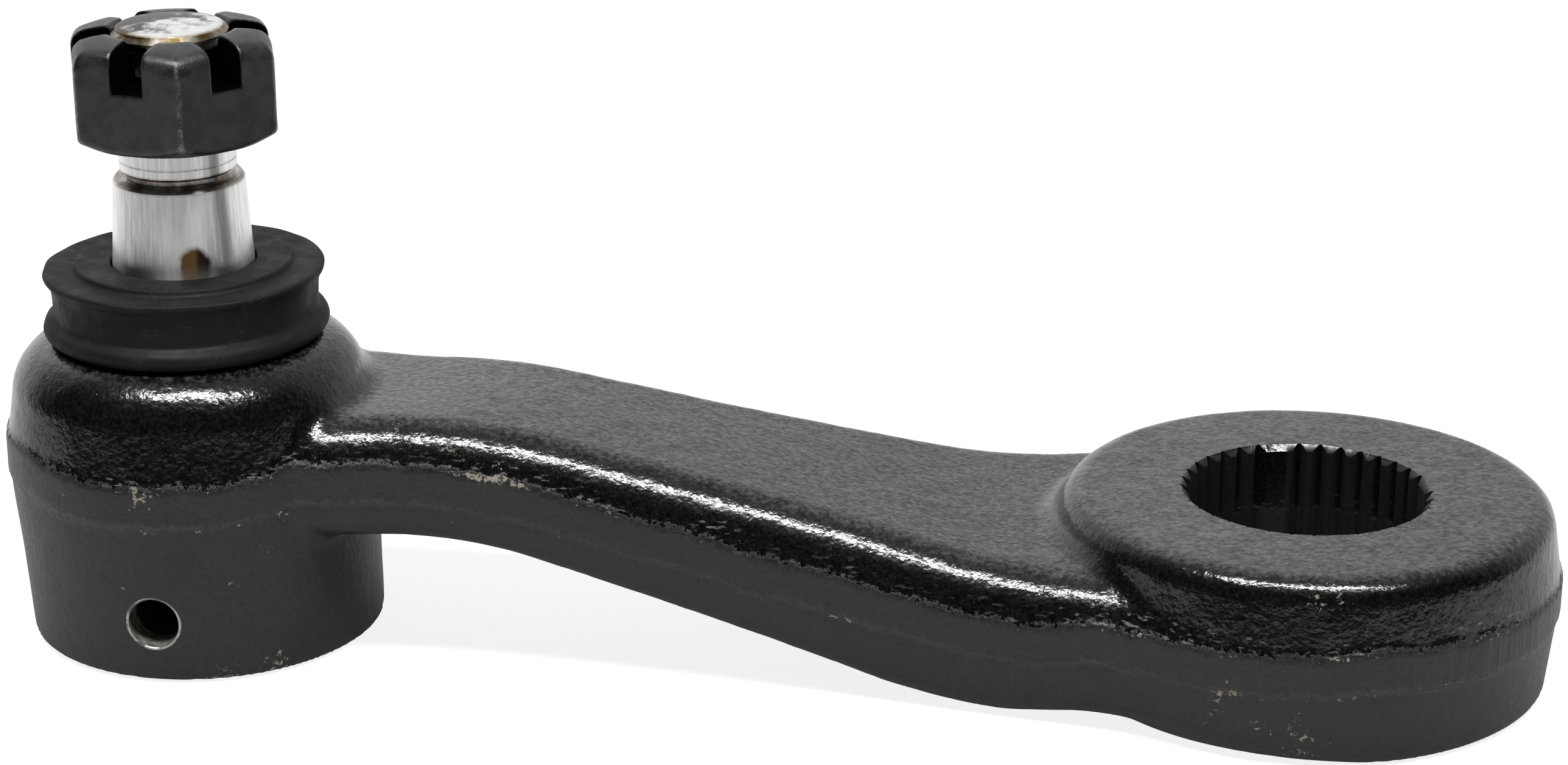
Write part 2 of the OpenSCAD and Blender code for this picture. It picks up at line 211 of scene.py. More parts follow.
def sample(field, points):
    """Values of a grid at points in cell units, by linear steps."""
    top = np.array(field.shape) - 2
    cell = np.clip(np.floor(points).astype(np.int64), 0, top)
    f = np.clip(points - cell, 0, 1)
    total = np.zeros(len(points))
    for corner in np.ndindex(2, 2, 2):
        weight = np.prod(np.where(corner, f, 1 - f), axis=1)
        i, j, k = (cell + corner).T
        total += weight * field[i, j, k]
    return total


def pull(field, points, turns):
    """Moves points, in cell units, onto the field's zero surface."""
    for _ in range(turns):
        ahead = []
        for axis in np.eye(3):
            ahead.append(sample(field, points + axis / 2) - sample(field, points - axis / 2))
        gradient = np.stack(ahead, axis=1)
        length = np.maximum((gradient ** 2).sum(axis=1), TINY)
        shift = sample(field, points) / length
        points = points - np.clip(shift, -0.5, 0.5)[:, None] * gradient
    return points


def curvature(field, points, low, step):
    """How sharply the field's surface turns at points in millimetres, positive on outer edges."""
    laplace = np.zeros_like(field)
    laplace[1:-1, 1:-1, 1:-1] = -6 * field[1:-1, 1:-1, 1:-1]
    for axis in range(3):
        for side in (0, 2):
            window = [slice(1, -1)] * 3
            window[axis] = slice(side, field.shape[axis] - 2 + side)
            laplace[1:-1, 1:-1, 1:-1] += field[tuple(window)]
    return sample(laplace, (points - np.array(low)) / step) / step


def surface_net(field):
    """Points, in cell units, and quads of the field's zero surface."""
    inside = field < 0
    shape = np.array(field.shape) - 1
    count = np.zeros(tuple(shape), np.int8)
    for a, b, c in np.ndindex(2, 2, 2):
        count += inside[a:a + shape[0], b:b + shape[1], c:c + shape[2]]
    active = (count > 0) & (count < 8)
    cells = np.argwhere(active)
    number = np.full(active.shape, -1, np.int64)
    number[active] = np.arange(len(cells))
    total = np.zeros((len(cells), 3))
    crossings = np.zeros(len(cells))
    for corner in np.ndindex(2, 2, 2):
        for axis in range(3):
            if corner[axis]:
                continue
            start = cells + corner
            step = np.eye(3, dtype=np.int64)[axis]
            va = field[tuple(start.T)]
            vb = field[tuple((start + step).T)]
            crossing = (va < 0) != (vb < 0)
            share = np.where(crossing, va / np.where(crossing, va - vb, 1), 0)
            total[crossing] += (start + share[:, None] * step)[crossing]
            crossings += crossing
    points = total / crossings[:, None]
    quads = []
    for axis in range(3):
        u = np.eye(3, dtype=np.int64)[(axis + 1) % 3]
        v = np.eye(3, dtype=np.int64)[(axis + 2) % 3]
        n = field.shape[axis]
        first = np.take(inside, range(n - 1), axis=axis)
        second = np.take(inside, range(1, n), axis=axis)
        edges = np.argwhere(first != second)
        keep = (edges @ u >= 1) & (edges @ v >= 1) & (edges @ u < shape @ u) & (edges @ v < shape @ v)
        edges = edges[keep]
        ring = [number[tuple(e.T)] for e in (edges, edges - u, edges - u - v, edges - v)]
        faces = np.stack(ring, axis=1)
        outward = first[tuple(edges.T)]
        quads.append(np.where(outward[:, None], faces, faces[:, ::-1]))
    return points, np.concatenate(quads)


# Meshes
def mesh_object(name, points, faces):
    mesh = bpy.data.meshes.new(name)
    mesh.from_pydata((np.asarray(points, float) * MM).tolist(), [], faces)
    mesh.update()
    piece = bpy.data.objects.new(name, mesh)
    bpy.context.scene.collection.objects.link(piece)
    return piece


def net_object(name, field, low, step):
    points, quads = surface_net(field)
    points = pull(field, points, 2)
    return mesh_object(name, points * step + np.array(low), quads.tolist())


def points_of(piece):
    values = np.zeros(len(piece.data.vertices) * 3)
    piece.data.vertices.foreach_get("co", values)
    return values.reshape(-1, 3) / MM


def set_attribute(piece, name, values):
    attribute = piece.data.attributes.new(name, "FLOAT", "POINT")
    attribute.data.foreach_set("value", np.asarray(values, np.float32))


def lathe(name, profile, segments, centre_x):
    """Closed solid from rows of (r, z), with poles where r is zero. A row's r can be one for each segment."""
    points = []
    rows = []
    for r, z in profile:
        if np.ndim(r) == 0 and r < TINY:
            rows.append([len(points)])
            points.append((centre_x, 0, z))
            continue
        rows.append(list(range(len(points), len(points) + segments)))
        for i, radius in enumerate(np.broadcast_to(r, segments)):
            a = 2 * math.pi * i / segments
            points.append((centre_x + radius * math.cos(a), radius * math.sin(a), z))
    faces = []
    for low, high in zip(rows, rows[1:]):
        for i in range(segments):
            j = (i + 1) % segments
            if len(low) == 1:
                faces.append((low[0], high[j], high[i]))
            elif len(high) == 1:
                faces.append((low[i], low[j], high[0]))
            else:
                faces.append((low[i], low[j], high[j], high[i]))
    return mesh_object(name, points, faces)


def prism(name, outline, low, high):
    """Upright solid from a list of (x, y) points."""
    n = len(outline)
    points = [(x, y, low) for x, y in outline] + [(x, y, high) for x, y in outline]
    faces = [tuple(range(n - 1, -1, -1)), tuple(range(n, 2 * n))]
    for i in range(n):
        j = (i + 1) % n
        faces.append((i, j, j + n, i + n))
    return mesh_object(name, points, faces)


def lay_across(tool, height, turn):
    """Lays an upright tool down across the stud's axis, at a height."""
    turned = Matrix.Rotation(turn, 4, "Z") @ Matrix.Rotation(math.radians(90), 4, "X")
    tool.matrix_world = Matrix.Translation((-ARM * MM, 0, height * MM)) @ turned
    bpy.context.view_layer.update()


def cut(piece, *tools):
    """Takes the tools' solids out of the piece and removes the tools."""
    for tool in tools:
        modifier = piece.modifiers.new("cut", "BOOLEAN")
        modifier.operation = "DIFFERENCE"
        modifier.solver = "MANIFOLD"
        modifier.object = tool
    graph = bpy.context.evaluated_depsgraph_get()
    result = bpy.data.meshes.new_from_object(piece.evaluated_get(graph))
    piece.modifiers.clear()
    old = piece.data
    piece.data = result
    bpy.data.meshes.remove(old)
    for tool in tools:
        bpy.data.objects.remove(tool)


def finish_mesh(piece, angle):
    """Smooth shading with sharp edges over an angle, in degrees."""
    mesh = piece.data
    mesh.shade_smooth()
    mesh.set_sharp_from_angle(angle=math.radians(angle))


# Forging: distances of the eye, the housing and the beam
GRID_STEP = 0.7
BEAM_TOP_ROUND = 5.4
BEAM_BACK_ROUND = 2.2
BEAM_LOW_ROUND = 2.8
ROUND_CHANGE = 6
BEAM_PAST = 8
BAND_ROUND = 0.3
BAND_DIP = 1.5
LINE_DRIFT = 1.1
LINE_JITTER = 0.7
TOP_FILLET = 3.2
SIDE_FILLET = 3
EYE_FILLET = 3.2
EYE_BLEND = 3
FOOT_ROUND = 0.8
FOOT_SHIFT = 1.0
FOOT_SHIFT_TOP = 22
FOOT_SPAN = (0.5, 1.2)
EDGE_TIGHT = 2.7
EDGE_SOFT = 3.0
EDGE_SPAN = (-0.1, 0.7)
SINK = 6
SINK_BALL = (ARM - 25, ARM - 5)
SINK_EYE = (-14, -2)
SKIN = 0.12
SKIN_FOOT = (0.3, 1.5)
SKIN_TOP = (0.2, 1.0)
BOX_MARGIN = 0.03
WAVE = 0.16
RIPPLE = 0.10

# Cell and seed of each noise on the forging
DRIFT_NOISE = (9.0, 7)
JITTER_NOISE = (2.3, 8)
WAVE_NOISE = (11.0, 3)
RIPPLE_NOISE = (3.2, 5)


def soft_or(a, b, reach):
    share = np.maximum(reach - np.abs(a - b), 0) / reach
    return np.minimum(a, b) - share ** 2 * reach / 4


def plan(x, y):
    """Distance from the outline of the housing, the beam and the eye, seen from above."""
    u = x + ARM
    v = np.abs(y)
    circle = np.sqrt(u ** 2 + v ** 2) - HOUSING_RADIUS
    strip = (v - beam_half(x)) / np.sqrt(1 + slope(beam_half, x) ** 2)
    strip = soft_or(strip, np.sqrt(x ** 2 + v ** 2) - EYE_RADIUS, EYE_BLEND)
    cy = BEAM_WIDTH / 2 + ROOT_ROUND
    cx = math.sqrt((HOUSING_RADIUS + ROOT_ROUND) ** 2 - cy ** 2)
    corner = (u < cx) & (v * cx < u * cy) & (v < cy)
    return np.where(corner, ROOT_ROUND - np.sqrt((u - cx) ** 2 + (v - cy) ** 2), np.minimum(circle, strip))


def parting(x, y):
    """Height of the middle of the trimmed band, which dips at the housing's front and back."""
    near = smooth(-x, ARM - HOUSING_RADIUS, ARM - HOUSING_RADIUS / 2)
    return beam_parting(x) - BAND_DIP * near * smooth(np.abs(y), BEAM_WIDTH / 2, HOUSING_RADIUS)


def stray(x, y):
    """How far the edges of the band stray from their lines."""
    level = 0 * (x + y)
    drift = LINE_DRIFT * (noise(x, y, level, *DRIFT_NOISE) - 0.5)
    return drift + LINE_JITTER * (noise(x, y, level, *JITTER_NOISE) - 0.5)


def banded(side, above, drift, low_draft, top, low, top_round, low_round):
    """Drafted walls above and below the trimmed band, rounded into the top and the bottom."""
    inner = side + FLASH_RISE
    upper = math.cos(UPPER_DRAFT) * inner + math.sin(UPPER_DRAFT) * (above - HALF_BAND)
    lower = math.cos(low_draft) * inner - math.sin(low_draft) * (above + HALF_BAND)
    body = np.maximum(round_and(top, upper, top_round), round_and(low, lower, low_round))
    height = np.maximum(above - HALF_BAND - drift, -above - HALF_BAND - drift / 2)
    return np.minimum(body, round_and(side, height, BAND_ROUND))


def beam_field(x, y, z, drift):
    """Distance from the beam, whose sides sink away inside the housing and the eye."""
    sunk = smooth(-x, *SINK_BALL) + smooth(x, *SINK_EYE)
    side = plan(x, y) + SINK * sunk
    top = (z - beam_top(x)) / np.sqrt(1 + slope(beam_top, x) ** 2)
    low = (beam_low(x) - z) / np.sqrt(1 + slope(beam_low, x) ** 2)
    above = (z - parting(x, y)) / np.sqrt(1 + slope(beam_parting, x) ** 2)
    edge = BEAM_BACK_ROUND + (BEAM_TOP_ROUND - BEAM_BACK_ROUND) * smooth(-y, -ROUND_CHANGE, ROUND_CHANGE)
    body = banded(side, above, drift, DRAFT, top, low, edge, BEAM_LOW_ROUND)
    return np.maximum(body, np.maximum(-ARM - BEAM_PAST - x, x))


def forging_field(low, high):
    """Distance from the whole forging without its holes, with a wavy skin, kept inside the CAD box."""
    x, y, z = grid(low, high, GRID_STEP)
    drift = stray(x, y)
    above = z - parting(x, y)
    corner = (y / 2 - x) / EYE_RADIUS
    rim = EDGE_TIGHT + (EDGE_SOFT - EDGE_TIGHT) * smooth(corner, *EDGE_SPAN)
    foot = FOOT_ROUND + EDGE_TIGHT * smooth((-x - y) / EYE_RADIUS, *FOOT_SPAN)
    wall = np.sqrt(x ** 2 + y ** 2) - EYE_RADIUS
    eye = banded(wall, above, drift, DRAFT, z - EYE_HEIGHT, -z, rim, foot)
    u = x + ARM - FOOT_SHIFT * np.clip(1 - z / FOOT_SHIFT_TOP, 0, 1)
    wall = np.sqrt(u ** 2 + y ** 2) - HOUSING_RADIUS
    housing = banded(wall, above, drift, FOOT_DRAFT, z - HOUSING_HEIGHT, -z, SHOULDER, FOOT_ROUND)
    fillet = SIDE_FILLET + (TOP_FILLET - SIDE_FILLET) * smooth(above, 0, BALL_TOP - BALL_LOW)
    field = join(beam_field(x, y, z, drift), housing, fillet)
    field = join(field, eye, EYE_FILLET)
    wave = WAVE * noise(x, y, z, *WAVE_NOISE) + RIPPLE * noise(x, y, z, *RIPPLE_NOISE)
    skin = smooth(z, *SKIN_FOOT) * smooth(HOUSING_HEIGHT - z, *SKIN_TOP)
    field = field + (wave - SKIN) * skin
    ends = np.maximum(x - EYE_RADIUS, -ARM - HOUSING_RADIUS - x)
    box = np.maximum(ends, np.abs(y) - EYE_RADIUS) + BOX_MARGIN
    return np.maximum(field, np.maximum(box, -z)).astype(np.float32)


def spline_outline():
    """Corners of the serrated hole, with the master teeth left solid."""
    pitch = 2 * math.pi / SPLINE_PLACES
    half = GROOVE_SHARE * pitch
    step = SPLINE_PLACES // SPLINE_MASTERS
    outline = []
    for i in range(SPLINE_PLACES):
        a = math.radians(SPLINE_CLOCKING) + i * pitch
        corners = [(SPLINE_TIP, a - half), (SPLINE_TIP, a), (SPLINE_TIP, a + half)]
        if i % step:
            corners[1] = (SPLINE_ROOT, a)
        outline += [(r * math.cos(t), r * math.sin(t)) for r, t in corners]
    return outline


# The mask of painted shade in the bore and on its lead-ins, and the angle of the tooth whose lead-in is left
# unshaded, with the degrees over which it ends
BORE_PAST = 0.2
BORE_EDGE = 0.15
LEAD_EDGE = 0.1
LEAD_SHARE = 0.9
UNSHADED_TOOTH = 105
UNSHADED_SPAN = (6, 8)

# Places with the paint chipped off: x, y, z and reach
WORN_PLACES = [
    (-127, -16, 34, 3.0), (-121, -15, 34, 3.2), (-114, -16, 33, 3.2), (-108, -17, 28.7, 3.4),
    (-113, -17, 20.5, 1.8), (-78, -17, 16, 1.8), (-64, -17, 9.3, 1.4), (-53, -17, 2.5, 2.0),
    (-11.4, -32, 6.9, 2.2), (-6.4, -33.4, 5.4, 2.4), (-9.4, -32.7, 10.3, 1.8), (-1, -34, 2.5, 4.5),
    (-143, -23, 1.8, 2.6), (-137.5, -20, 1.9, 2.2), (-134, -17, 37.4, 1.6), (-164, -22, 26.7, 2.4),
    (-153, -25, 26.6, 2.6), (-153, -25, 21.4, 1.6), (3, -33.5, 24.8, 4.0), (-141.8, -22.6, 14.4, 1.4),
    (-137.7, -20.3, 18.3, 1.4), (-155.9, -24.7, 13.7, 1.4), (-135.7, -18.6, 22.5, 1.5),
    (-164.1, -22.1, 23.5, 1.6), (-127, -18.5, 23.5, 1.5),
]
BORE_SEGMENTS = 144
PORT_SEGMENTS = 64
SOCKET_STEPS = 12
FORGING_SHARP = 38


def forging_tools():
    """Solids of the serrated bore with its lead-ins, the socket and the grease port."""
    serrations = prism("serrations", spline_outline(), -PAST, EYE_HEIGHT + PAST)
    wide = SPLINE_TIP + SPLINE_CHAMFER + PAST
    lead_top = EYE_HEIGHT - SPLINE_CHAMFER
    over = EYE_HEIGHT + PAST
    lead_in = [(0, lead_top), (SPLINE_TIP, lead_top), (wide, over), (0, over)]
    upper = lathe("lead_in", lead_in, BORE_SEGMENTS, 0)
    lead_out = [(0, -PAST), (wide, -PAST), (SPLINE_TIP, SPLINE_CHAMFER), (0, SPLINE_CHAMFER)]
    lower = lathe("lead_out", lead_out, BORE_SEGMENTS, 0)
    ledge = LIP_THICKNESS + PLATE_THICKNESS
    hollow = [(0, -PAST), (LIP_RADIUS, -PAST), (LIP_RADIUS, LIP_THICKNESS), (PLATE_RADIUS, LIP_THICKNESS),
              (PLATE_RADIUS, ledge), (SOCKET_RADIUS, ledge)]
    rise = math.asin(THROAT_RISE / SOCKET_RADIUS)
    for i in range(SOCKET_STEPS + 1):
        a = rise * i / SOCKET_STEPS
        hollow.append((SOCKET_RADIUS * math.cos(a), BALL_HEIGHT + SOCKET_RADIUS * math.sin(a)))
    over = HOUSING_HEIGHT + PAST
    hollow += [(MOUTH_RADIUS, HOUSING_HEIGHT), (MOUTH_RADIUS, over), (0, over)]
    socket = lathe("socket", hollow, BORE_SEGMENTS, -ARM)
    wide = PORT_RADIUS + PORT_CHAMFER + PAST
    face = PORT_FACE - PORT_CHAMFER
    deep = SOCKET_RADIUS - 2 * PAST
    over = PORT_FACE + 4 * PAST
    drilled = [(0, deep), (PORT_RADIUS, deep), (PORT_RADIUS, face), (wide, PORT_FACE + PAST)]
    drilled += [(wide, over), (0, over)]
    port = lathe("port", drilled, PORT_SEGMENTS, 0)
    lay_across(port, PORT_HEIGHT, 0)
    return serrations, upper, lower, socket, port


def make_forging():
    pad = 2 * GRID_STEP
    low = (-ARM - HOUSING_RADIUS - pad, -EYE_RADIUS - pad, -pad)
    high = (EYE_RADIUS + pad, EYE_RADIUS + pad, HOUSING_HEIGHT + pad)
    field = forging_field(low, high)
    piece = net_object("forging", field, low, GRID_STEP)
    cut(piece, *forging_tools())
    points = points_of(piece)
    x, y, z = points.T
    set_attribute(piece, "band", (z - parting(x, y) - stray(x, y)) / HALF_BAND)
    # The bore attribute is a mask of painted shade: the bore's walls, and the lead-ins of all teeth but one,
    # are painted dark
    inside = smooth(SPLINE_ROOT + BORE_PAST - np.sqrt(x ** 2 + y ** 2), 0, BORE_EDGE)
    below = smooth(EYE_HEIGHT - SPLINE_CHAMFER - z, 0, LEAD_EDGE)
    lead = LEAD_SHARE * smooth(EYE_HEIGHT - LEAD_EDGE - z, 0, LEAD_EDGE)
    apart = np.abs(np.degrees(np.arctan2(y, x)) - UNSHADED_TOOTH)
    set_attribute(piece, "bore", inside * np.maximum(below, lead * smooth(apart, *UNSHADED_SPAN)))
    wear = np.zeros(len(points))
    for mx, my, mz, reach in WORN_PLACES:
        gap = ((x - mx) ** 2 + (y - my) ** 2 + (z - mz) ** 2) / reach ** 2
        wear = np.maximum(wear, np.exp(-gap))
    set_attribute(piece, "wear", wear)
    set_attribute(piece, "edge", curvature(field, points, low, GRID_STEP))
    finish_mesh(piece, FORGING_SHARP)
    return piece


# Stud: a lathed body with a helical thread. A break is how far an edge is taken back, inward and along
STUD_SEGMENTS = 96
HOLE_SEGMENTS = 32
HEAD_START = -86
HEAD_STEPS = 24
FILLET_STEPS = 4
COLLAR_BREAK = (0.15, 0.2)
TAPER_BREAK = (0.35, 0.5)
TAPER_EASE = 0.03
GROOVE_FILLET = 0.4
GROOVE_BREAK = (0.12, 0.25)
SHANK_EDGE = 0.15
SCORE_HALF = 0.06
THREAD_LEAD = 0.2
THREAD_STEP = 0.1
CREST_FLAT = 0.1
FLANK_SHARE = 0.75
END_CHAMFER = 0.8
END_INSET = 0.9
DOME_HEIGHT = 0.75
DOME_FALL = 0.85
DOME_SHARES = (0.98, 0.85, 0.65, 0.4, 0.2, 0)
STUD_SHARP = 30


def thread_radius(turn, z):
    """Radius of the thread at a turn from 0 to 1 and a height."""
    phase = (z - THREAD_START) / THREAD_PITCH - turn
    wave = np.abs(phase - np.floor(phase) - 0.5) * 2
    crest = np.clip((wave - CREST_FLAT) / FLANK_SHARE, 0, 1)
    radius = THREAD_RADIUS - THREAD_DEPTH * crest
    return np.minimum(radius, STUD_TOP - DOME_HEIGHT - z + THREAD_RADIUS - END_CHAMFER)


def arc(centre_r, centre_z, radius, start, end, steps):
    angles = np.radians(np.linspace(start, end, steps + 1))
    return [(centre_r + radius * math.cos(a), centre_z + radius * math.sin(a)) for a in angles]


def stud_profile():
    """Rows of (r, z) from the head's pole to the domed end, with an r for each segment on the thread."""
    dip = math.degrees(math.asin((HEAD_FLAT - BALL_HEIGHT) / HEAD_RADIUS))
    profile = [(0, BALL_HEIGHT - HEAD_RADIUS)]
    profile += arc(0, BALL_HEIGHT, HEAD_RADIUS, HEAD_START, dip, HEAD_STEPS)
    profile += [(JOURNAL_RADIUS, HEAD_FLAT), (JOURNAL_RADIUS, JOURNAL_TOP), (NECK_RADIUS, JOURNAL_TOP)]
    profile += [(NECK_RADIUS, TAPER_BOTTOM - COLLAR_CHAMFER)]
    profile += [(TAPER_LARGE - COLLAR_BREAK[0], TAPER_BOTTOM - COLLAR_BREAK[1]), (TAPER_LARGE, TAPER_BOTTOM)]
    profile += [(TAPER_SMALL + TAPER_EASE, TAPER_TOP - TAPER_BREAK[1])]
    foot = GROOVE_RADIUS + GROOVE_FILLET
    profile += [(TAPER_SMALL - TAPER_BREAK[0], TAPER_TOP), (foot, TAPER_TOP)]
    profile += arc(foot, TAPER_TOP + GROOVE_FILLET, GROOVE_FILLET, 270, 180, FILLET_STEPS)
    profile += [(GROOVE_RADIUS, GROOVE_TOP - GROOVE_BREAK[1]), (SHANK_RADIUS - GROOVE_BREAK[0], GROOVE_TOP)]
    profile += [(SHANK_RADIUS, GROOVE_TOP + SHANK_EDGE), (SHANK_RADIUS, SCORE_HEIGHT - SHANK_EDGE)]
    score = SHANK_RADIUS - SCORE_DEPTH
    profile += [(score, SCORE_HEIGHT - SCORE_HALF), (score, SCORE_HEIGHT + SCORE_HALF)]
    profile += [(SHANK_RADIUS, SCORE_HEIGHT + SHANK_EDGE), (SHANK_RADIUS, THREAD_START - THREAD_LEAD)]
    turns = np.arange(STUD_SEGMENTS) / STUD_SEGMENTS
    for z in np.arange(THREAD_START, STUD_TOP - DOME_HEIGHT, THREAD_STEP):
        profile.append((thread_radius(turns, z), z))
    rim = THREAD_RADIUS - END_INSET
    profile += [(rim * share, STUD_TOP - DOME_FALL * DOME_HEIGHT * share ** 2) for share in DOME_SHARES]
    return profile


def make_stud():
    piece = lathe("stud", stud_profile(), STUD_SEGMENTS, -ARM)
    reach = 2 * THREAD_RADIUS
    drilled = [(0, -reach), (COTTER_RADIUS, -reach), (COTTER_RADIUS, reach), (0, reach)]
    hole = lathe("hole", drilled, HOLE_SEGMENTS, 0)
    lay_across(hole, COTTER_HEIGHT, NUT_ANGLE)
    cut(piece, hole)
    finish_mesh(piece, STUD_SHARP)
    return piece


# Nut: a slotted hexagon with worn edges
NUT_STEP = 0.3
NUT_PAD = 1
NUT_ROUND = 0.45
CROWN_ROUND = 1.8
SLOT_ROUND = 0.4
NUT_CROWN_SLOPE = math.radians(30)
NUT_LEAD = 0.7
NUT_WAVE = 0.07
NUT_RIPPLE = 0.03
NUT_WAVE_NOISE = (2.3, 11)
NUT_RIPPLE_NOISE = (0.9, 12)
CALM_BORE = 0.6
CORNER_SPAN = (NUT_HALF_FLATS + 0.7, NUT_CORNER - 0.6)
FLAT_WEAR = 0.35
DEEP_PAST = 0.3
DEEP_EDGE = 0.2
NUT_SHARP = 45
FLAT_ANGLES = [NUT_ANGLE + math.radians(30 + 60 * i) for i in range(6)]


def outward(x, y, a):
    return x * math.cos(a) + y * math.sin(a)


def sideways(x, y, a):
    return np.abs(-x * math.sin(a) + y * math.cos(a))


def make_nut():
    low = (-NUT_CORNER - NUT_PAD, -NUT_CORNER - NUT_PAD, NUT_BOTTOM - NUT_PAD)
    high = (NUT_CORNER + NUT_PAD, NUT_CORNER + NUT_PAD, NUT_TOP + NUT_PAD)
    x, y, z = grid(low, high, NUT_STEP)
    hexagon = np.full((x.size, y.size, 1), -1e3, np.float32)
    for a in FLAT_ANGLES:
        hexagon = round_and(hexagon, outward(x, y, a) - NUT_HALF_FLATS, NUT_ROUND)
    r = np.sqrt(x ** 2 + y ** 2)
    c = math.cos(NUT_CROWN_SLOPE)
    s = math.sin(NUT_CROWN_SLOPE)
    crown = s * (r - NUT_FACE) + c * (z - NUT_TOP)
    foot = s * (r - NUT_FOOT) - c * (z - NUT_BOTTOM)
    body = round_and(hexagon, round_and(crown, z - NUT_TOP, CROWN_ROUND), CROWN_ROUND)
    body = round_and(body, np.maximum(foot, NUT_BOTTOM - z), NUT_ROUND)
    bore = NUT_BORE - r
    lead = (NUT_BORE + NUT_LEAD - r - NUT_TOP + z) / math.sqrt(2)
    under = (NUT_BORE + NUT_LEAD - r - z + NUT_BOTTOM) / math.sqrt(2)
    body = np.maximum(np.maximum(body, bore), np.maximum(lead, under))
    for a in FLAT_ANGLES:
        across = sideways(x, y, a) - SLOT_HALF
        slot = np.maximum(round_and(across, SLOT_FLOOR - z, SLOT_ROUND), -outward(x, y, a))
        body = round_and(body, -slot, SLOT_ROUND)
    wave = NUT_WAVE * noise(x, y, z, *NUT_WAVE_NOISE) + NUT_RIPPLE * noise(x, y, z, *NUT_RIPPLE_NOISE)
    body = body + wave * (np.abs(r - NUT_BORE) > CALM_BORE)
    body = body.astype(np.float32)
    piece = net_object("nut", body, low, NUT_STEP)
    points = points_of(piece)
    x, y, z = points.T
    corner = smooth(np.hypot(x, y), *CORNER_SPAN)
    worn = curvature(body, points, low, NUT_STEP) * (FLAT_WEAR + (1 - FLAT_WEAR) * corner)
    set_attribute(piece, "edge", worn)
    # The deep attribute marks the slots' insides, where the material paints shade
    deep = np.zeros(len(points))
    for a in FLAT_ANGLES:
        within = smooth(SLOT_HALF + DEEP_PAST - sideways(x, y, a), 0, DEEP_EDGE) * (outward(x, y, a) > 0)
        deep = np.maximum(deep, within * smooth(z - SLOT_FLOOR, -2 * DEEP_EDGE, -DEEP_EDGE))
    set_attribute(piece, "deep", deep)
    piece.data.transform(Matrix.Translation((-ARM * MM, 0, 0)))
    finish_mesh(piece, NUT_SHARP)
    return piece


# Boot: a moulded rubber bellows, lathed from (r, z) points, from the foot bead up
BOOT_SEGMENTS = 144
BOOT_FOOT = arc(18.0, 43.4, 1.4, -80, 65, 10)
BOOT_WAIST = [(18.2, 45.0), (18.02, 45.25), (17.98, 45.7), (18.0, 46.6), (18.02, 47.6), (18.08, 48.4),
              (18.2, 49.1), (18.45, 49.7), (18.8, 50.25), (19.1, 50.65)]
BOOT_RIM = arc(18.8, 51.05, 0.4, -10, 90, 4)
BOOT_TOP = [(18.2, 51.42), (16.8, 51.3), (15.3, 51.26), (14.95, 51.4), (14.8, 51.75)]
BOOT_STEP = arc(14.35, 51.75, 0.42, 20, 90, 4)
BOOT_COLLAR = [(12.5, 52.12), (10.4, 52.1)]
BOOT_LIP = arc(10.2, 51.7, 0.4, 90, 180, 4)
BOOT_INSIDE = [(9.8, 50.3), (15.6, 49.8), (15.9, 46.0), (16.25, 42.1)]

# How far the boot's wall swells and sags, more so on its rim, with the cell and seed of each noise
SWELL = 0.16
RIM_SWELL = 0.18
SWELL_NOISE = (4.0, 21)
SAG = 0.14
RIM_SAG = 0.2
SAG_NOISE = (7.0, 22)
UNEVEN_RADII = (11, 14)
UNEVEN_HEIGHTS = (43, 50)
RIM_RADII = (18.3, 19)
RIM_HEIGHTS = (49, 50)
BOOT_SHARP = 50


def make_boot():
    profile = BOOT_FOOT + BOOT_WAIST + BOOT_RIM + BOOT_TOP + BOOT_STEP + BOOT_COLLAR + BOOT_LIP + BOOT_INSIDE
    rows = len(profile)
    angles = np.arange(BOOT_SEGMENTS) * 2 * math.pi / BOOT_SEGMENTS
    points = []
    for r, z in profile:
        x = -ARM + r * np.cos(angles)
        y = r * np.sin(angles)
        level = z + 0 * x
        share = float(smooth(np.array(r), *UNEVEN_RADII))
        rim = float(smooth(np.array(r), *RIM_RADII) * smooth(np.array(z), *RIM_HEIGHTS))
        swell = (SWELL + RIM_SWELL * rim) * share * (noise(x, y, level, *SWELL_NOISE) - 1)
        sag = (SAG + RIM_SAG * rim) * share * (noise(x, y, level, *SAG_NOISE) - 1)
        sag = sag * smooth(np.array(z), *UNEVEN_HEIGHTS)
        points += [(-ARM + (r + s) * math.cos(a), (r + s) * math.sin(a), z + t)
                   for a, s, t in zip(angles, swell, sag)]
    faces = []
    for row in range(rows):
        low = row * BOOT_SEGMENTS
        high = (row + 1) % rows * BOOT_SEGMENTS
        for i in range(BOOT_SEGMENTS):
            j = (i + 1) % BOOT_SEGMENTS
            faces.append((low + i, low + j, high + j, high + i))
    piece = mesh_object("boot", points, faces)
    finish_mesh(piece, BOOT_SHARP)
    return piece


# Materials
def set_input(tree, socket, value):
    if isinstance(value, bpy.types.NodeSocket):
        tree.links.new(value, socket)
    else:
        socket.default_value = value


def make(tree, kind, inputs=None, **settings):
    """New node with its settings, values and links."""
    made = tree.nodes.new(kind)
    for key, value in settings.items():
        setattr(made, key, value)
    for key, value in (inputs or {}).items():
        set_input(tree, made.inputs[key], value)
    return made


def maths(tree, operation, a, b=0.0):
    return make(tree, "ShaderNodeMath", {0: a, 1: b}, operation=operation).outputs[0]


def fold(tree, operation, first, *others):
    for other in others:
        first = maths(tree, operation, first, other)
    return first


def times(tree, *values):
    return fold(tree, "MULTIPLY", *values)


def plus(tree, *values):
    return fold(tree, "ADD", *values)


def most(tree, *values):
    return fold(tree, "MAXIMUM", *values)


def rest(tree, share):
    """What a share leaves of one."""
    return maths(tree, "SUBTRACT", 1.0, share)


def vector(tree, operation, a, b=None, output=0):
    inputs = {0: a} if b is None else {0: a, 1: b}
    return make(tree, "ShaderNodeVectorMath", inputs, operation=operation).outputs[output]


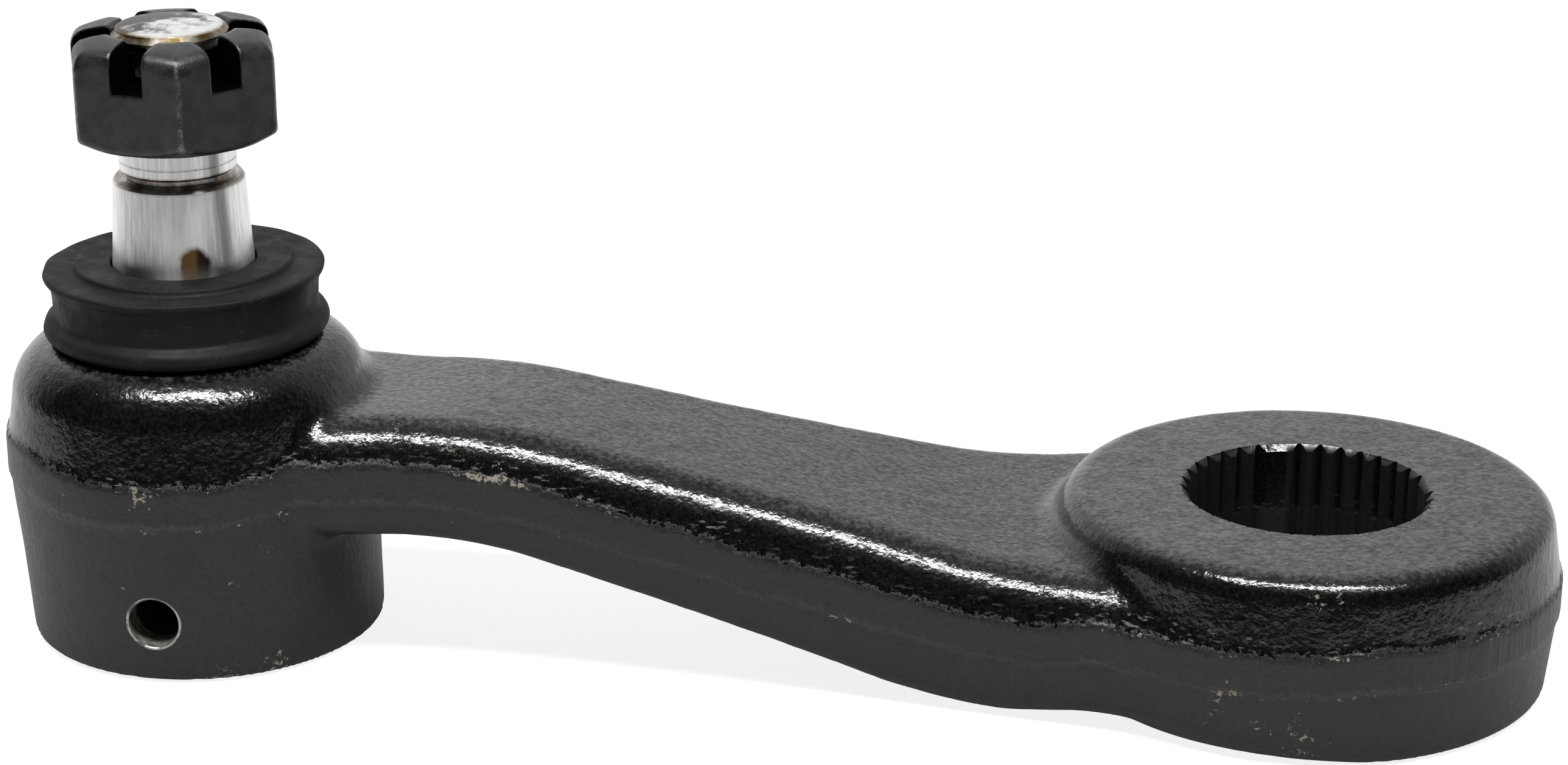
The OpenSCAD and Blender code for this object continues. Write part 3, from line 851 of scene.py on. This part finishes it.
def split(tree, value):
    return make(tree, "ShaderNodeSeparateXYZ", {0: value}).outputs


def ramp(tree, value, low, high, start=0.0, end=1.0):
    inputs = {"Value": value, "From Min": low, "From Max": high, "To Min": start, "To Max": end}
    return make(tree, "ShaderNodeMapRange", inputs, interpolation_type="SMOOTHSTEP").outputs[0]


def mix(tree, share, a, b):
    inputs = {0: share, 6: a, 7: b}
    return make(tree, "ShaderNodeMix", inputs, data_type="RGBA").outputs[2]


def coats(tree, colour, *layers):
    """A colour under layers of (share, colour), the last on top."""
    for share, layer in layers:
        colour = mix(tree, share, colour, layer)
    return colour


def between(tree, share, a, b):
    return make(tree, "ShaderNodeMix", {0: share, 2: a, 3: b}, data_type="FLOAT").outputs[0]


def millimetres(tree, stretch=(1, 1, 1)):
    """Object coordinates in millimetres, stretched along the axes."""
    place = make(tree, "ShaderNodeTexCoord").outputs["Object"]
    return vector(tree, "MULTIPLY", place, [s / MM for s in stretch])


def grain(tree, place, cell, detail, rough):
    inputs = {"Vector": place, "Scale": 1 / cell, "Detail": detail, "Roughness": rough}
    return make(tree, "ShaderNodeTexNoise", inputs).outputs[0]


def grains(tree, place, *sorts):
    return [grain(tree, place, *sort) for sort in sorts]


def attribute(tree, name):
    return make(tree, "ShaderNodeAttribute", attribute_name=name).outputs["Fac"]


def bumped(tree, height, depth, normal=None):
    """Normal with a relief whose height from 0 to 1 stands for depth in millimetres."""
    inputs = {"Height": height, "Distance": depth * MM, "Strength": 1.0}
    if normal is not None:
        inputs["Normal"] = normal
    return make(tree, "ShaderNodeBump", inputs).outputs[0]


def material(name):
    made = bpy.data.materials.new(name)
    made.use_nodes = True
    tree = made.node_tree
    tree.nodes.clear()
    shader = make(tree, "ShaderNodeBsdfPrincipled")
    make(tree, "ShaderNodeOutputMaterial", {"Surface": shader.outputs[0]})
    return made, tree, shader


def feed(tree, shader, **values):
    for key, value in values.items():
        set_input(tree, shader.inputs[key.replace("_", " ")], value)


# Ranges of noise that most ramps start and end at
MIDDLE = (0.3, 0.7)
CLOUDED = (0.35, 0.65)
THINNED = (0.3, 0.6)

# Paint: colours
BLACK = (0.0022, 0.0022, 0.0024, 1)
PAINT = (0.0065, 0.0065, 0.0067, 1)
MATT_DARK = (0.0055, 0.0057, 0.0058, 1)
MATT_LIGHT = (0.0125, 0.0129, 0.0131, 1)
# The next colour darkens pits and specks, and paints shade in the bore and in the nut's slots
DARK_SPECK_AND_SHADE = (0.0015, 0.0015, 0.0015, 1)
CHIP = (0.26, 0.235, 0.19, 1)
BARE = (0.5, 0.48, 0.44, 1)
DUST = (0.046, 0.0455, 0.0450, 1)
GLINT = (0.13, 0.13, 0.132, 1)
# The next colour is a painted highlight along the band's lower edge
RIDGE_HIGHLIGHT = (0.030, 0.0305, 0.031, 1)

# Paint: cell in millimetres, detail and roughness of each noise, and the stretch of two of them
PAINT_FINE = (0.5, 4.0, 0.7)
DIMPLE = (0.6, 2.0, 0.5)
PEBBLE = (1.5, 2.0, 0.5)
FLAKE = (0.8, 5.0, 0.7)
PATCH = (5.0, 4.0, 0.65)
BROAD = (13.0, 3.0, 0.55)
TRIM = (1.5, 3.0, 0.6)
TRIM_STRETCH = (1, 1, 0.06)
DASH = (0.5, 3.0, 0.6)
DASH_STRETCH = (0.3, 0.3, 1)

# Paint: where each layer starts and ends, in a noise or across the band (1 at its upper edge), and how strong
RAGGED = 0.2
GLOSS_EDGE = (0.90, 1.08)
BAND_FOOT = (-1.05, -0.95)
TRIM_FADE = (5, 20, 0.25, 1.0)
DARK_GRAIN = (0.4, 0.62)
MATT_GRAIN = (0.38, 0.60)
MATT_PATCHES = (0.45, 0.7, 0.0, 0.4)
PIT_FLAKES = (0.46, 0.68)
PIT_PATCHES = (0.35, 0.60, 0.5, 1.0)
PIT_GLOSS = (0.0, 1.0, 0.4, 1.0)
UPPER_START = (0.74, 0.96)
UPPER_END = (1.30, 1.06)
LOWER_START = (-1.20, -1.02)
LOWER_END = (-0.76, -0.94)
EDGE_WEAR = (0.30, 0.8, 0.0, 0.8)
LINE_CHIPS = (0.40, 0.64, 0.02, 0.17)
PLACE_CHIPS = 0.175
PATCH_CHIPS = (0.52, 0.68, 0.0, 0.09)
CHIP_EDGE = (0.735, 0.775)
CHIP_COVER = 0.75
RIM_WIDTH = (0.24, 0.14)
RIM_BREAKS = (0.40, 0.52, 0.15, 1.0)
RIM_FRONT = (-20, -21)
UPWARD = (0.8, 0.96)
DUST_FLAKES = (0.56, 0.34)
RIDGE_HIGHLIGHT_COVER = 0.5
DASH_EDGE = (0.57, 0.66)
DASH_PATCHES = (0.44, 0.60, 0.2, 1.0)
DASH_END = (2.4, 1.1)
SPECK_FLAKES = (0.50, 0.68)
# The next share makes the bore and the specks metallic so that they stay dark; in the bore it is painted
# shade
SHADE_AND_SPECK_METALLIC = 0.5
MATT_ROUGH = (0.38, 0.50)
GLOSS_ROUGH = (0.11, 0.20)
PIT_ROUGH = 0.12
WORN_ROUGH = 0.9
PAINT_IOR = 1.52

# Paint: depths of its relief, in millimetres
PEBBLE_DEPTH = 0.09
DIMPLE_DEPTH = 0.06
TRIM_DEPTH = 0.25
CHIP_DEPTH = 0.08


def paint_material():
    """Black paint: glossy above the trimmed band, matt on and below it, chipped along its edges, with painted
    shade in the bore, a painted highlight along the band's lower edge and painted glints above its upper
    edge.
    """
    made, tree, shader = material("black_paint")
    place = millimetres(tree)
    axes = split(tree, place)
    fine, pebble, flake, patch, broad = grains(tree, place, PAINT_FINE, PEBBLE, FLAKE, PATCH, BROAD)
    band = attribute(tree, "band")
    # The bore attribute marks painted shade in the bore and on its lead-ins
    bore = attribute(tree, "bore")
    ragged = plus(tree, band, ramp(tree, flake, *MIDDLE, -RAGGED, RAGGED))
    gloss = ramp(tree, ragged, *GLOSS_EDGE)
    dark = mix(tree, ramp(tree, fine, *DARK_GRAIN), BLACK, PAINT)
    light = ramp(tree, fine, *MATT_GRAIN)
    matt = coats(tree, MATT_DARK, (light, MATT_LIGHT), (ramp(tree, broad, *MATT_PATCHES), MATT_DARK))
    pits = times(tree, ramp(tree, flake, *PIT_FLAKES), ramp(tree, patch, *PIT_PATCHES),
                 ramp(tree, gloss, *PIT_GLOSS))

    # Chips along the band's two edges and the sharp edges, at the worn places and in patches
    over = ramp(tree, ragged, *UPPER_START)
    upper_line = times(tree, over, ramp(tree, ragged, *UPPER_END))
    lower_line = times(tree, ramp(tree, ragged, *LOWER_START), ramp(tree, ragged, *LOWER_END))
    lines = most(tree, upper_line, lower_line, ramp(tree, attribute(tree, "edge"), *EDGE_WEAR))
    likely = plus(tree, times(tree, lines, ramp(tree, broad, *LINE_CHIPS)),
                  times(tree, attribute(tree, "wear"), PLACE_CHIPS), ramp(tree, patch, *PATCH_CHIPS))
    chips = times(tree, ramp(tree, plus(tree, flake, likely), *CHIP_EDGE), rest(tree, bore))
    whole = rest(tree, chips)

    # The grease port's bare rim
    offset = vector(tree, "SUBTRACT", place, (-ARM, 0, PORT_HEIGHT))
    radius = vector(tree, "LENGTH", vector(tree, "MULTIPLY", offset, (1, 0, 1)), output="Value")
    gap = maths(tree, "ABSOLUTE", maths(tree, "SUBTRACT", radius, PORT_RADIUS + PORT_CHAMFER / 2))
    rim = times(tree, ramp(tree, gap, *RIM_WIDTH), ramp(tree, pebble, *RIM_BREAKS),
                ramp(tree, axes["Y"], *RIM_FRONT))

    # Dust on top, and glints and specks above the band
    facing = make(tree, "ShaderNodeNewGeometry").outputs["True Normal"]
    upward = ramp(tree, split(tree, facing)["Z"], *UPWARD)
    dust = times(tree, upward, ramp(tree, flake, *DUST_FLAKES))
    dashes = ramp(tree, grain(tree, millimetres(tree, DASH_STRETCH), *DASH), *DASH_EDGE)
    dashes = times(tree, dashes, ramp(tree, broad, *DASH_PATCHES))
    glints = times(tree, over, ramp(tree, ragged, *DASH_END), dashes)
    specks = times(tree, ramp(tree, flake, *SPECK_FLAKES), gloss)
    # Painted light in these coats: the bore's dark coat is painted shade, the light line along the band's
    # lower edge is a painted highlight, and the glints above its upper edge are painted glints; the pits and
    # specks are dark grain
    colour = coats(tree, matt, (gloss, dark), (pits, DARK_SPECK_AND_SHADE), (dust, DUST),
                   (times(tree, lower_line, RIDGE_HIGHLIGHT_COVER), RIDGE_HIGHLIGHT), (glints, GLINT),
                   (times(tree, chips, CHIP_COVER), CHIP), (rim, BARE), (bore, DARK_SPECK_AND_SHADE),
                   (times(tree, specks, whole), DARK_SPECK_AND_SHADE))
    # Metallic on the bore keeps it dark as painted shade; on the specks it darkens grain, and the port's rim
    # is bare metal
    metal = most(tree, rim, times(tree, most(tree, bore, specks), SHADE_AND_SPECK_METALLIC, whole))

    matt_rough = ramp(tree, fine, *MIDDLE, *MATT_ROUGH)
    rough = between(tree, gloss, matt_rough, ramp(tree, fine, *MIDDLE, *GLOSS_ROUGH))
    rough = plus(tree, rough, times(tree, pits, PIT_ROUGH))
    rough = between(tree, most(tree, chips, bore), rough, WORN_ROUGH)
    on_band = times(tree, ramp(tree, band, *BAND_FOOT), rest(tree, gloss))
    trimmed = times(tree, on_band, ramp(tree, axes["X"], *TRIM_FADE))
    trim = grain(tree, millimetres(tree, TRIM_STRETCH), *TRIM)
    normal = bumped(tree, pebble, PEBBLE_DEPTH)
    normal = bumped(tree, grain(tree, place, *DIMPLE), DIMPLE_DEPTH, normal)
    normal = bumped(tree, times(tree, trim, trimmed), TRIM_DEPTH, normal)
    normal = bumped(tree, whole, CHIP_DEPTH, normal)
    feed(tree, shader, Base_Color=colour, Roughness=rough, Normal=normal, Metallic=metal, IOR=PAINT_IOR)
    return made


# Steel: colours
BRIGHT = (0.86, 0.86, 0.85, 1)
GREY = (0.76, 0.755, 0.745, 1)
# The next colour is painted shade on the stud's end
END_SHADE = (0.045, 0.042, 0.036, 1)
BROWN = (0.095, 0.054, 0.022, 1)
TARNISH = (0.17, 0.122, 0.052, 1)
GREASE = (0.03, 0.026, 0.02, 1)
STAIN_CORE = (0.02, 0.014, 0.01, 1)
GRIME = (0.12, 0.115, 0.105, 1)

# Steel: noises, as for the paint
STREAKS = (0.4, 4.0, 0.65)
STREAK_STRETCH = (1, 1, 0.03)
STEEL_CLOUD = (2.4, 3.0, 0.6)
STEEL_FINE = (0.25, 3.0, 0.6)
END_SHADE_GRAIN = (3.0, 4.0, 0.65)

# Steel: heights between which each layer starts or ends, and its strength in the clouds
END_HEIGHT = (STUD_TOP - 1.0, STUD_TOP - 0.7)
GROOVE_LOW = (TAPER_TOP - 1.0, TAPER_TOP)
GROOVE_HIGH = (GROOVE_TOP + 0.5, GROOVE_TOP)
GROOVE_TINT = (0.3, 0.85)
TIP_LOW = (83.0, 83.5)
TIP_HIGH = (STUD_TOP - 0.5, STUD_TOP - 0.8)
TIP_TINT = (0.6, 1.0)
NUT_LOW = (69.4, 70.4)
NUT_HIGH = (83.4, 82.6)
GRIME_HEIGHT = (54.2, 51.6)
GRIME_TINT = (0.2, 0.8)

# Steel: the painted shade on the stud's end, darker towards its left and back, and the stain's middle, shape
# and edges
END_SHADE_SIDE = (0.8, -0.6, 0)
END_SHADE_EDGE = (-END_SHADE_SIDE[0] * ARM + 4, -END_SHADE_SIDE[0] * ARM - 2, 0.05, 0.95)
END_SHADE_STRAY = 3.5
STAIN = (-148.5, -8.5, 53.4)
STAIN_SHAPE = (0.43, 0.43, 0.35)
STAIN_STRAY = 0.07
STAIN_EDGE = (1.12, 0.72)
CORE_EDGE = (0.0, 0.3)
STEEL_ROUGH = (0.26, 0.36)
DULL_ROUGH = 0.55
END_ROUGH = 0.46
STEEL_DEPTH = 0.003
AROUND = 0.25


def steel_material(name, brushed):
    """Ground steel with a stain, a grimy foot, a dark thread, and painted shade on its end, darker towards
    the left and back.
    """
    made, tree, shader = material(name)
    place = millimetres(tree)
    streaks = grain(tree, millimetres(tree, STREAK_STRETCH), *STREAKS)
    cloud, fine, end_shade_noise = grains(tree, place, STEEL_CLOUD, STEEL_FINE, END_SHADE_GRAIN)
    height = split(tree, place)["Z"]
    ending = ramp(tree, height, *END_HEIGHT)
    # Painted shade: the end darkens towards its left and back along a noisy edge, standing in for a darker
    # reflection there
    lean = vector(tree, "DOT_PRODUCT", place, END_SHADE_SIDE, "Value")
    lean = plus(tree, lean, ramp(tree, end_shade_noise, *MIDDLE, -END_SHADE_STRAY, END_SHADE_STRAY))
    end_shade = times(tree, ending, ramp(tree, lean, *END_SHADE_EDGE))
    groove = times(tree, ramp(tree, height, *GROOVE_LOW), ramp(tree, height, *GROOVE_HIGH),
                   ramp(tree, cloud, *THINNED, *GROOVE_TINT))
    tip = times(tree, ramp(tree, height, *TIP_LOW), ramp(tree, height, *TIP_HIGH),
                ramp(tree, cloud, *THINNED, *TIP_TINT))
    hidden = times(tree, ramp(tree, height, *NUT_LOW), ramp(tree, height, *NUT_HIGH))
    offset = vector(tree, "MULTIPLY", vector(tree, "SUBTRACT", place, STAIN), STAIN_SHAPE)
    away = vector(tree, "LENGTH", offset, output="Value")
    ragged = plus(tree, away, ramp(tree, cloud, *MIDDLE, -STAIN_STRAY, STAIN_STRAY))
    stain = ramp(tree, ragged, *STAIN_EDGE)
    core = times(tree, stain, ramp(tree, split(tree, offset)["X"], *CORE_EDGE))
    grime = times(tree, ramp(tree, height, *GRIME_HEIGHT), ramp(tree, cloud, *MIDDLE, *GRIME_TINT))
    colour = coats(tree, BRIGHT, (ramp(tree, streaks, *CLOUDED), GREY), (end_shade, END_SHADE), (groove, BROWN),
                   (tip, TARNISH), (hidden, GREASE), (stain, BROWN), (core, STAIN_CORE), (grime, GRIME))
    rough = ramp(tree, streaks, *MIDDLE, *STEEL_ROUGH)
    rough = between(tree, most(tree, stain, grime, tip), rough, DULL_ROUGH)
    rough = between(tree, ending, rough, END_ROUGH)
    normal = bumped(tree, fine, STEEL_DEPTH)
    normal = bumped(tree, streaks, STEEL_DEPTH, normal)
    around = make(tree, "ShaderNodeTangent", direction_type="RADIAL", axis="Z").outputs[0]
    feed(tree, shader, Base_Color=colour, Roughness=rough, Normal=normal, Metallic=1.0,
         Anisotropic=brushed, Anisotropic_Rotation=AROUND, Tangent=around)
    return made


# Nut: colours, noises, wear and roughness
PHOSPHATE_DARK = (0.006, 0.006, 0.0059, 1)
PHOSPHATE_LIGHT = (0.015, 0.0148, 0.0143, 1)
NUT_BARE = (0.13, 0.127, 0.12, 1)
NUT_FINE = (0.35, 4.0, 0.7)
NUT_CLOUD = (2.5, 3.0, 0.6)
NUT_PATCH = (1.4, 4.0, 0.7)
NUT_WEAR = (0.25, 0.6)
NUT_WEAR_PATCHES = (0.42, 0.60)
NUT_POLISH = (0.02, 0.15)
NUT_ROUGH = (0.38, 0.52)
POLISHED_ROUGH = (0.20, 0.32)
DEEP_ROUGH = 0.95
NUT_DEPTH = 0.05
BARE_METAL = 0.6


def nut_material():
    """Dark phosphate, polished and worn bare on its edges, with painted shade in the slots."""
    made, tree, shader = material("dark_phosphate")
    place = millimetres(tree)
    fine, cloud, patch = grains(tree, place, NUT_FINE, NUT_CLOUD, NUT_PATCH)
    deep = attribute(tree, "deep")
    edge = attribute(tree, "edge")
    patches = ramp(tree, patch, *NUT_WEAR_PATCHES)
    bare = times(tree, ramp(tree, edge, *NUT_WEAR), patches, rest(tree, deep))
    light = ramp(tree, cloud, *CLOUDED)
    # Painted shade: the slots' insides are coated near black, and made fully metallic below, so that they
    # stay dark
    colour = coats(tree, PHOSPHATE_DARK, (light, PHOSPHATE_LIGHT), (bare, NUT_BARE), (deep, DARK_SPECK_AND_SHADE))
    rough = ramp(tree, fine, *MIDDLE, *NUT_ROUGH)
    rough = between(tree, ramp(tree, edge, *NUT_POLISH), rough, ramp(tree, fine, *MIDDLE, *POLISHED_ROUGH))
    rough = between(tree, deep, rough, DEEP_ROUGH)
    normal = bumped(tree, fine, NUT_DEPTH)
    metal = most(tree, times(tree, bare, BARE_METAL), deep)
    feed(tree, shader, Base_Color=colour, Roughness=rough, Normal=normal, Metallic=metal)
    return made


# Boot: colours, noises, dust and roughness
RUBBER = (0.0065, 0.0065, 0.0068, 1)
RUBBER_DUST = (0.019, 0.019, 0.0188, 1)
RUBBER_FINE = (0.35, 3.0, 0.6)
RUBBER_CLOUD = (4.0, 4.0, 0.65)
DUST_CLOUDS = (0.45, 0.7)
DUST_GRAIN = (0.4, 0.65)
RUBBER_ROUGH = (0.50, 0.72)
RUBBER_DEPTH = 0.03
RUBBER_SPECULAR = 0.16


def rubber_material():
    made, tree, shader = material("boot_rubber")
    place = millimetres(tree)
    fine, cloud = grains(tree, place, RUBBER_FINE, RUBBER_CLOUD)
    dust = times(tree, ramp(tree, cloud, *DUST_CLOUDS), ramp(tree, fine, *DUST_GRAIN))
    colour = mix(tree, dust, RUBBER, RUBBER_DUST)
    rough = ramp(tree, cloud, *MIDDLE, *RUBBER_ROUGH)
    normal = bumped(tree, fine, RUBBER_DEPTH)
    feed(tree, shader, Base_Color=colour, Roughness=rough, Normal=normal, Specular_IOR_Level=RUBBER_SPECULAR)
    return made


# Inner pieces: noises, relief and metal, and the light colour, dark colour and roughness of each
INNER_FINE = (0.3, 3.0, 0.6)
INNER_CLOUD = (2.2, 3.0, 0.6)
INNER_DEPTH = 0.02
INNER_METAL = 0.8
SPRING_LOOK = ((0.36, 0.36, 0.37, 1), (0.25, 0.25, 0.26, 1), (0.3, 0.45))
SEAT_LOOK = ((0.24, 0.22, 0.19, 1), (0.15, 0.135, 0.115, 1), (0.4, 0.6))
BALL_LOOK = ((0.27, 0.25, 0.21, 1), (0.18, 0.16, 0.13, 1), (0.35, 0.5))


def plain_metal(name, light, dark, shine):
    made, tree, shader = material(name)
    place = millimetres(tree)
    fine, cloud = grains(tree, place, INNER_FINE, INNER_CLOUD)
    tone = mix(tree, ramp(tree, cloud, *CLOUDED), light, dark)
    feed(tree, shader, Base_Color=tone, Roughness=ramp(tree, fine, *MIDDLE, *shine),
         Normal=bumped(tree, fine, INNER_DEPTH), Metallic=INNER_METAL)
    return made


def wear_only(piece, look):
    piece.data.materials.clear()
    piece.data.materials.append(look)


def dress(piece, look, slot, body, *nodes):
    wear_only(piece, look)
    if body:
        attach(piece, body)
    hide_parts(*nodes)


# Pieces
BRUSHED = 0.85
END_MARGIN = 0.1
paint = paint_material()
forging = make_forging()
dress(forging, paint, "forging", "arm", "arm_forging")
stud = make_stud()
dress(stud, steel_material("ground_steel", BRUSHED), "stud", "stud", "ball_stud")
stud.data.materials.append(steel_material("stud_end", 0.0))
for face in stud.data.polygons:
    face.material_index = int(face.center.z > (STUD_TOP - DOME_HEIGHT - END_MARGIN) * MM)
nut = make_nut()
dress(nut, nut_material(), "nut", "nut", "castle_nut")
boot = make_boot()
dress(boot, rubber_material(), "boot", None, "dust_boot")
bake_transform(boot)
wear_only(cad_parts["preload_spring"], plain_metal("spring_steel", *SPRING_LOOK))
wear_only(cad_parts["pressure_seat"], plain_metal("sintered_seat", *SEAT_LOOK))
wear_only(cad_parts["half_ball"], plain_metal("sintered_ball", *BALL_LOOK))
wear_only(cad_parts["cover_plate"], nut_material())

# Stage, in metres: a floor that is white to the camera, a room that is dark in front, and a soft lamp
FLOOR_DROP = 0.0002
FLOOR_CORNERS = [(-0.6, -0.5), (0.45, -0.5), (0.45, 0.6), (-0.6, 0.6)]
MIRROR_FRONT = (-0.13, -0.11)
WHITE = (1, 1, 1, 1)
FLOOR_GREY = (0.8, 0.8, 0.8, 1)
SHADOW_GREY = (0.2, 0.2, 0.2, 1)
FLOOR_GLOW = 0.86
CONTACT_REACH = 0.06
CONTACT_RAYS = 8
floor_mesh = bpy.data.meshes.new("floor")
floor_mesh.from_pydata([(x, y, -FLOOR_DROP) for x, y in FLOOR_CORNERS], [], [(0, 1, 2, 3)])
floor = bpy.data.objects.new("floor", floor_mesh)
bpy.context.scene.collection.objects.link(floor)


def emission(tree, strength):
    return make(tree, "ShaderNodeEmission", {"Color": WHITE, "Strength": strength}).outputs[0]


def diffuse(tree, colour):
    return make(tree, "ShaderNodeBsdfDiffuse", {"Color": colour}).outputs[0]


def choose(tree, share, a, b):
    return make(tree, "ShaderNodeMixShader", {0: share, 1: a, 2: b}).outputs[0]


def floor_material():
    """White with a soft shadow to the camera, to glossy rays a glow darkened by ambient occlusion as a
    painted shadow, fading out towards the front, and clear from below.
    """
    made = bpy.data.materials.new("pale_floor")
    made.use_nodes = True
    tree = made.node_tree
    tree.nodes.clear()
    paths = make(tree, "ShaderNodeLightPath").outputs
    place = make(tree, "ShaderNodeNewGeometry").outputs
    clear = make(tree, "ShaderNodeBsdfTransparent").outputs[0]
    near = ramp(tree, split(tree, place["Position"])["Y"], *MIRROR_FRONT)
    # Painted shadow: to glossy rays the floor is a glow darkened by ambient occlusion near the object
    contact = {"Distance": CONTACT_REACH}
    open_sky = make(tree, "ShaderNodeAmbientOcclusion", contact, samples=CONTACT_RAYS).outputs["AO"]
    mirrored = choose(tree, near, clear, emission(tree, open_sky))
    unseen = choose(tree, paths["Is Glossy Ray"], diffuse(tree, FLOOR_GREY), mirrored)
    lit = {0: diffuse(tree, SHADOW_GREY), 1: emission(tree, FLOOR_GLOW)}
    pale = make(tree, "ShaderNodeAddShader", lit).outputs[0]
    front = choose(tree, paths["Is Camera Ray"], unseen, pale)
    both = choose(tree, place["Backfacing"], front, clear)
    make(tree, "ShaderNodeOutputMaterial", {"Surface": both})
    return made


floor_mesh.materials.append(floor_material())

# Room: where its light starts and ends along each direction, and its strength at both
BACK_LIGHT = (-0.1, 0.7, 0.015, 1.0)
SIDE_FALL = (0.25, -0.3, 0.7, 1.08)
OVERHEAD = (0.6, 1.0, 0.0, 0.4)
FROM_BELOW = (-0.11, -0.2, 0.0, 0.95)
world = bpy.data.worlds.new("studio")
bpy.context.scene.world = world
world.use_nodes = True
tree = world.node_tree
tree.nodes.clear()
axes = split(tree, make(tree, "ShaderNodeTexCoord").outputs["Generated"])
back = times(tree, ramp(tree, axes["Y"], *BACK_LIGHT), ramp(tree, axes["X"], *SIDE_FALL))
level = most(tree, back, ramp(tree, axes["Z"], *OVERHEAD), ramp(tree, axes["Z"], *FROM_BELOW))
room = make(tree, "ShaderNodeBackground", {"Color": WHITE, "Strength": level}).outputs[0]
blank = make(tree, "ShaderNodeBackground", {"Color": WHITE, "Strength": 1.0}).outputs[0]
seen = make(tree, "ShaderNodeLightPath").outputs["Is Camera Ray"]
make(tree, "ShaderNodeOutputWorld", {"Surface": choose(tree, seen, room, blank)})

# Softbox
LAMP_LENGTH = 0.8
LAMP_WIDTH = 0.14
LAMP_POWER = 13.0
LAMP_PLACE = Vector((-0.03, -0.28, 0.85))
LAMP_TARGET = Vector((-0.03, 0.0, 0.02))
lamp = bpy.data.lights.new("softbox", "AREA")
lamp.shape = "RECTANGLE"
lamp.size = LAMP_LENGTH
lamp.size_y = LAMP_WIDTH
lamp.energy = LAMP_POWER
softbox = bpy.data.objects.new("softbox", lamp)
bpy.context.scene.collection.objects.link(softbox)
softbox.location = LAMP_PLACE
softbox.rotation_mode = "QUATERNION"
softbox.rotation_quaternion = (LAMP_TARGET - LAMP_PLACE).to_track_quat("-Z", "Y")

# Camera at the photograph's angle
LENS = 81.91
SENSOR = 36
CLIP_START = 0.01
CLIP_END = 50
CAMERA_PLACE = (-0.01930, -0.44923, 0.20096)
CAMERA_AIM = Vector((-0.10621444, 0.93430967, -0.34027037))
camera_data = bpy.data.cameras.new("camera")
camera_data.lens = LENS
camera_data.sensor_width = SENSOR
camera_data.clip_start = CLIP_START
camera_data.clip_end = CLIP_END
camera = bpy.data.objects.new("camera", camera_data)
bpy.context.scene.collection.objects.link(camera)
camera.location = CAMERA_PLACE
camera.rotation_mode = "QUATERNION"
camera.rotation_quaternion = CAMERA_AIM.to_track_quat("-Z", "Y")
bpy.context.scene.camera = camera
bpy.context.scene.view_settings.view_transform = "Standard"

bpy.context.view_layer.update()
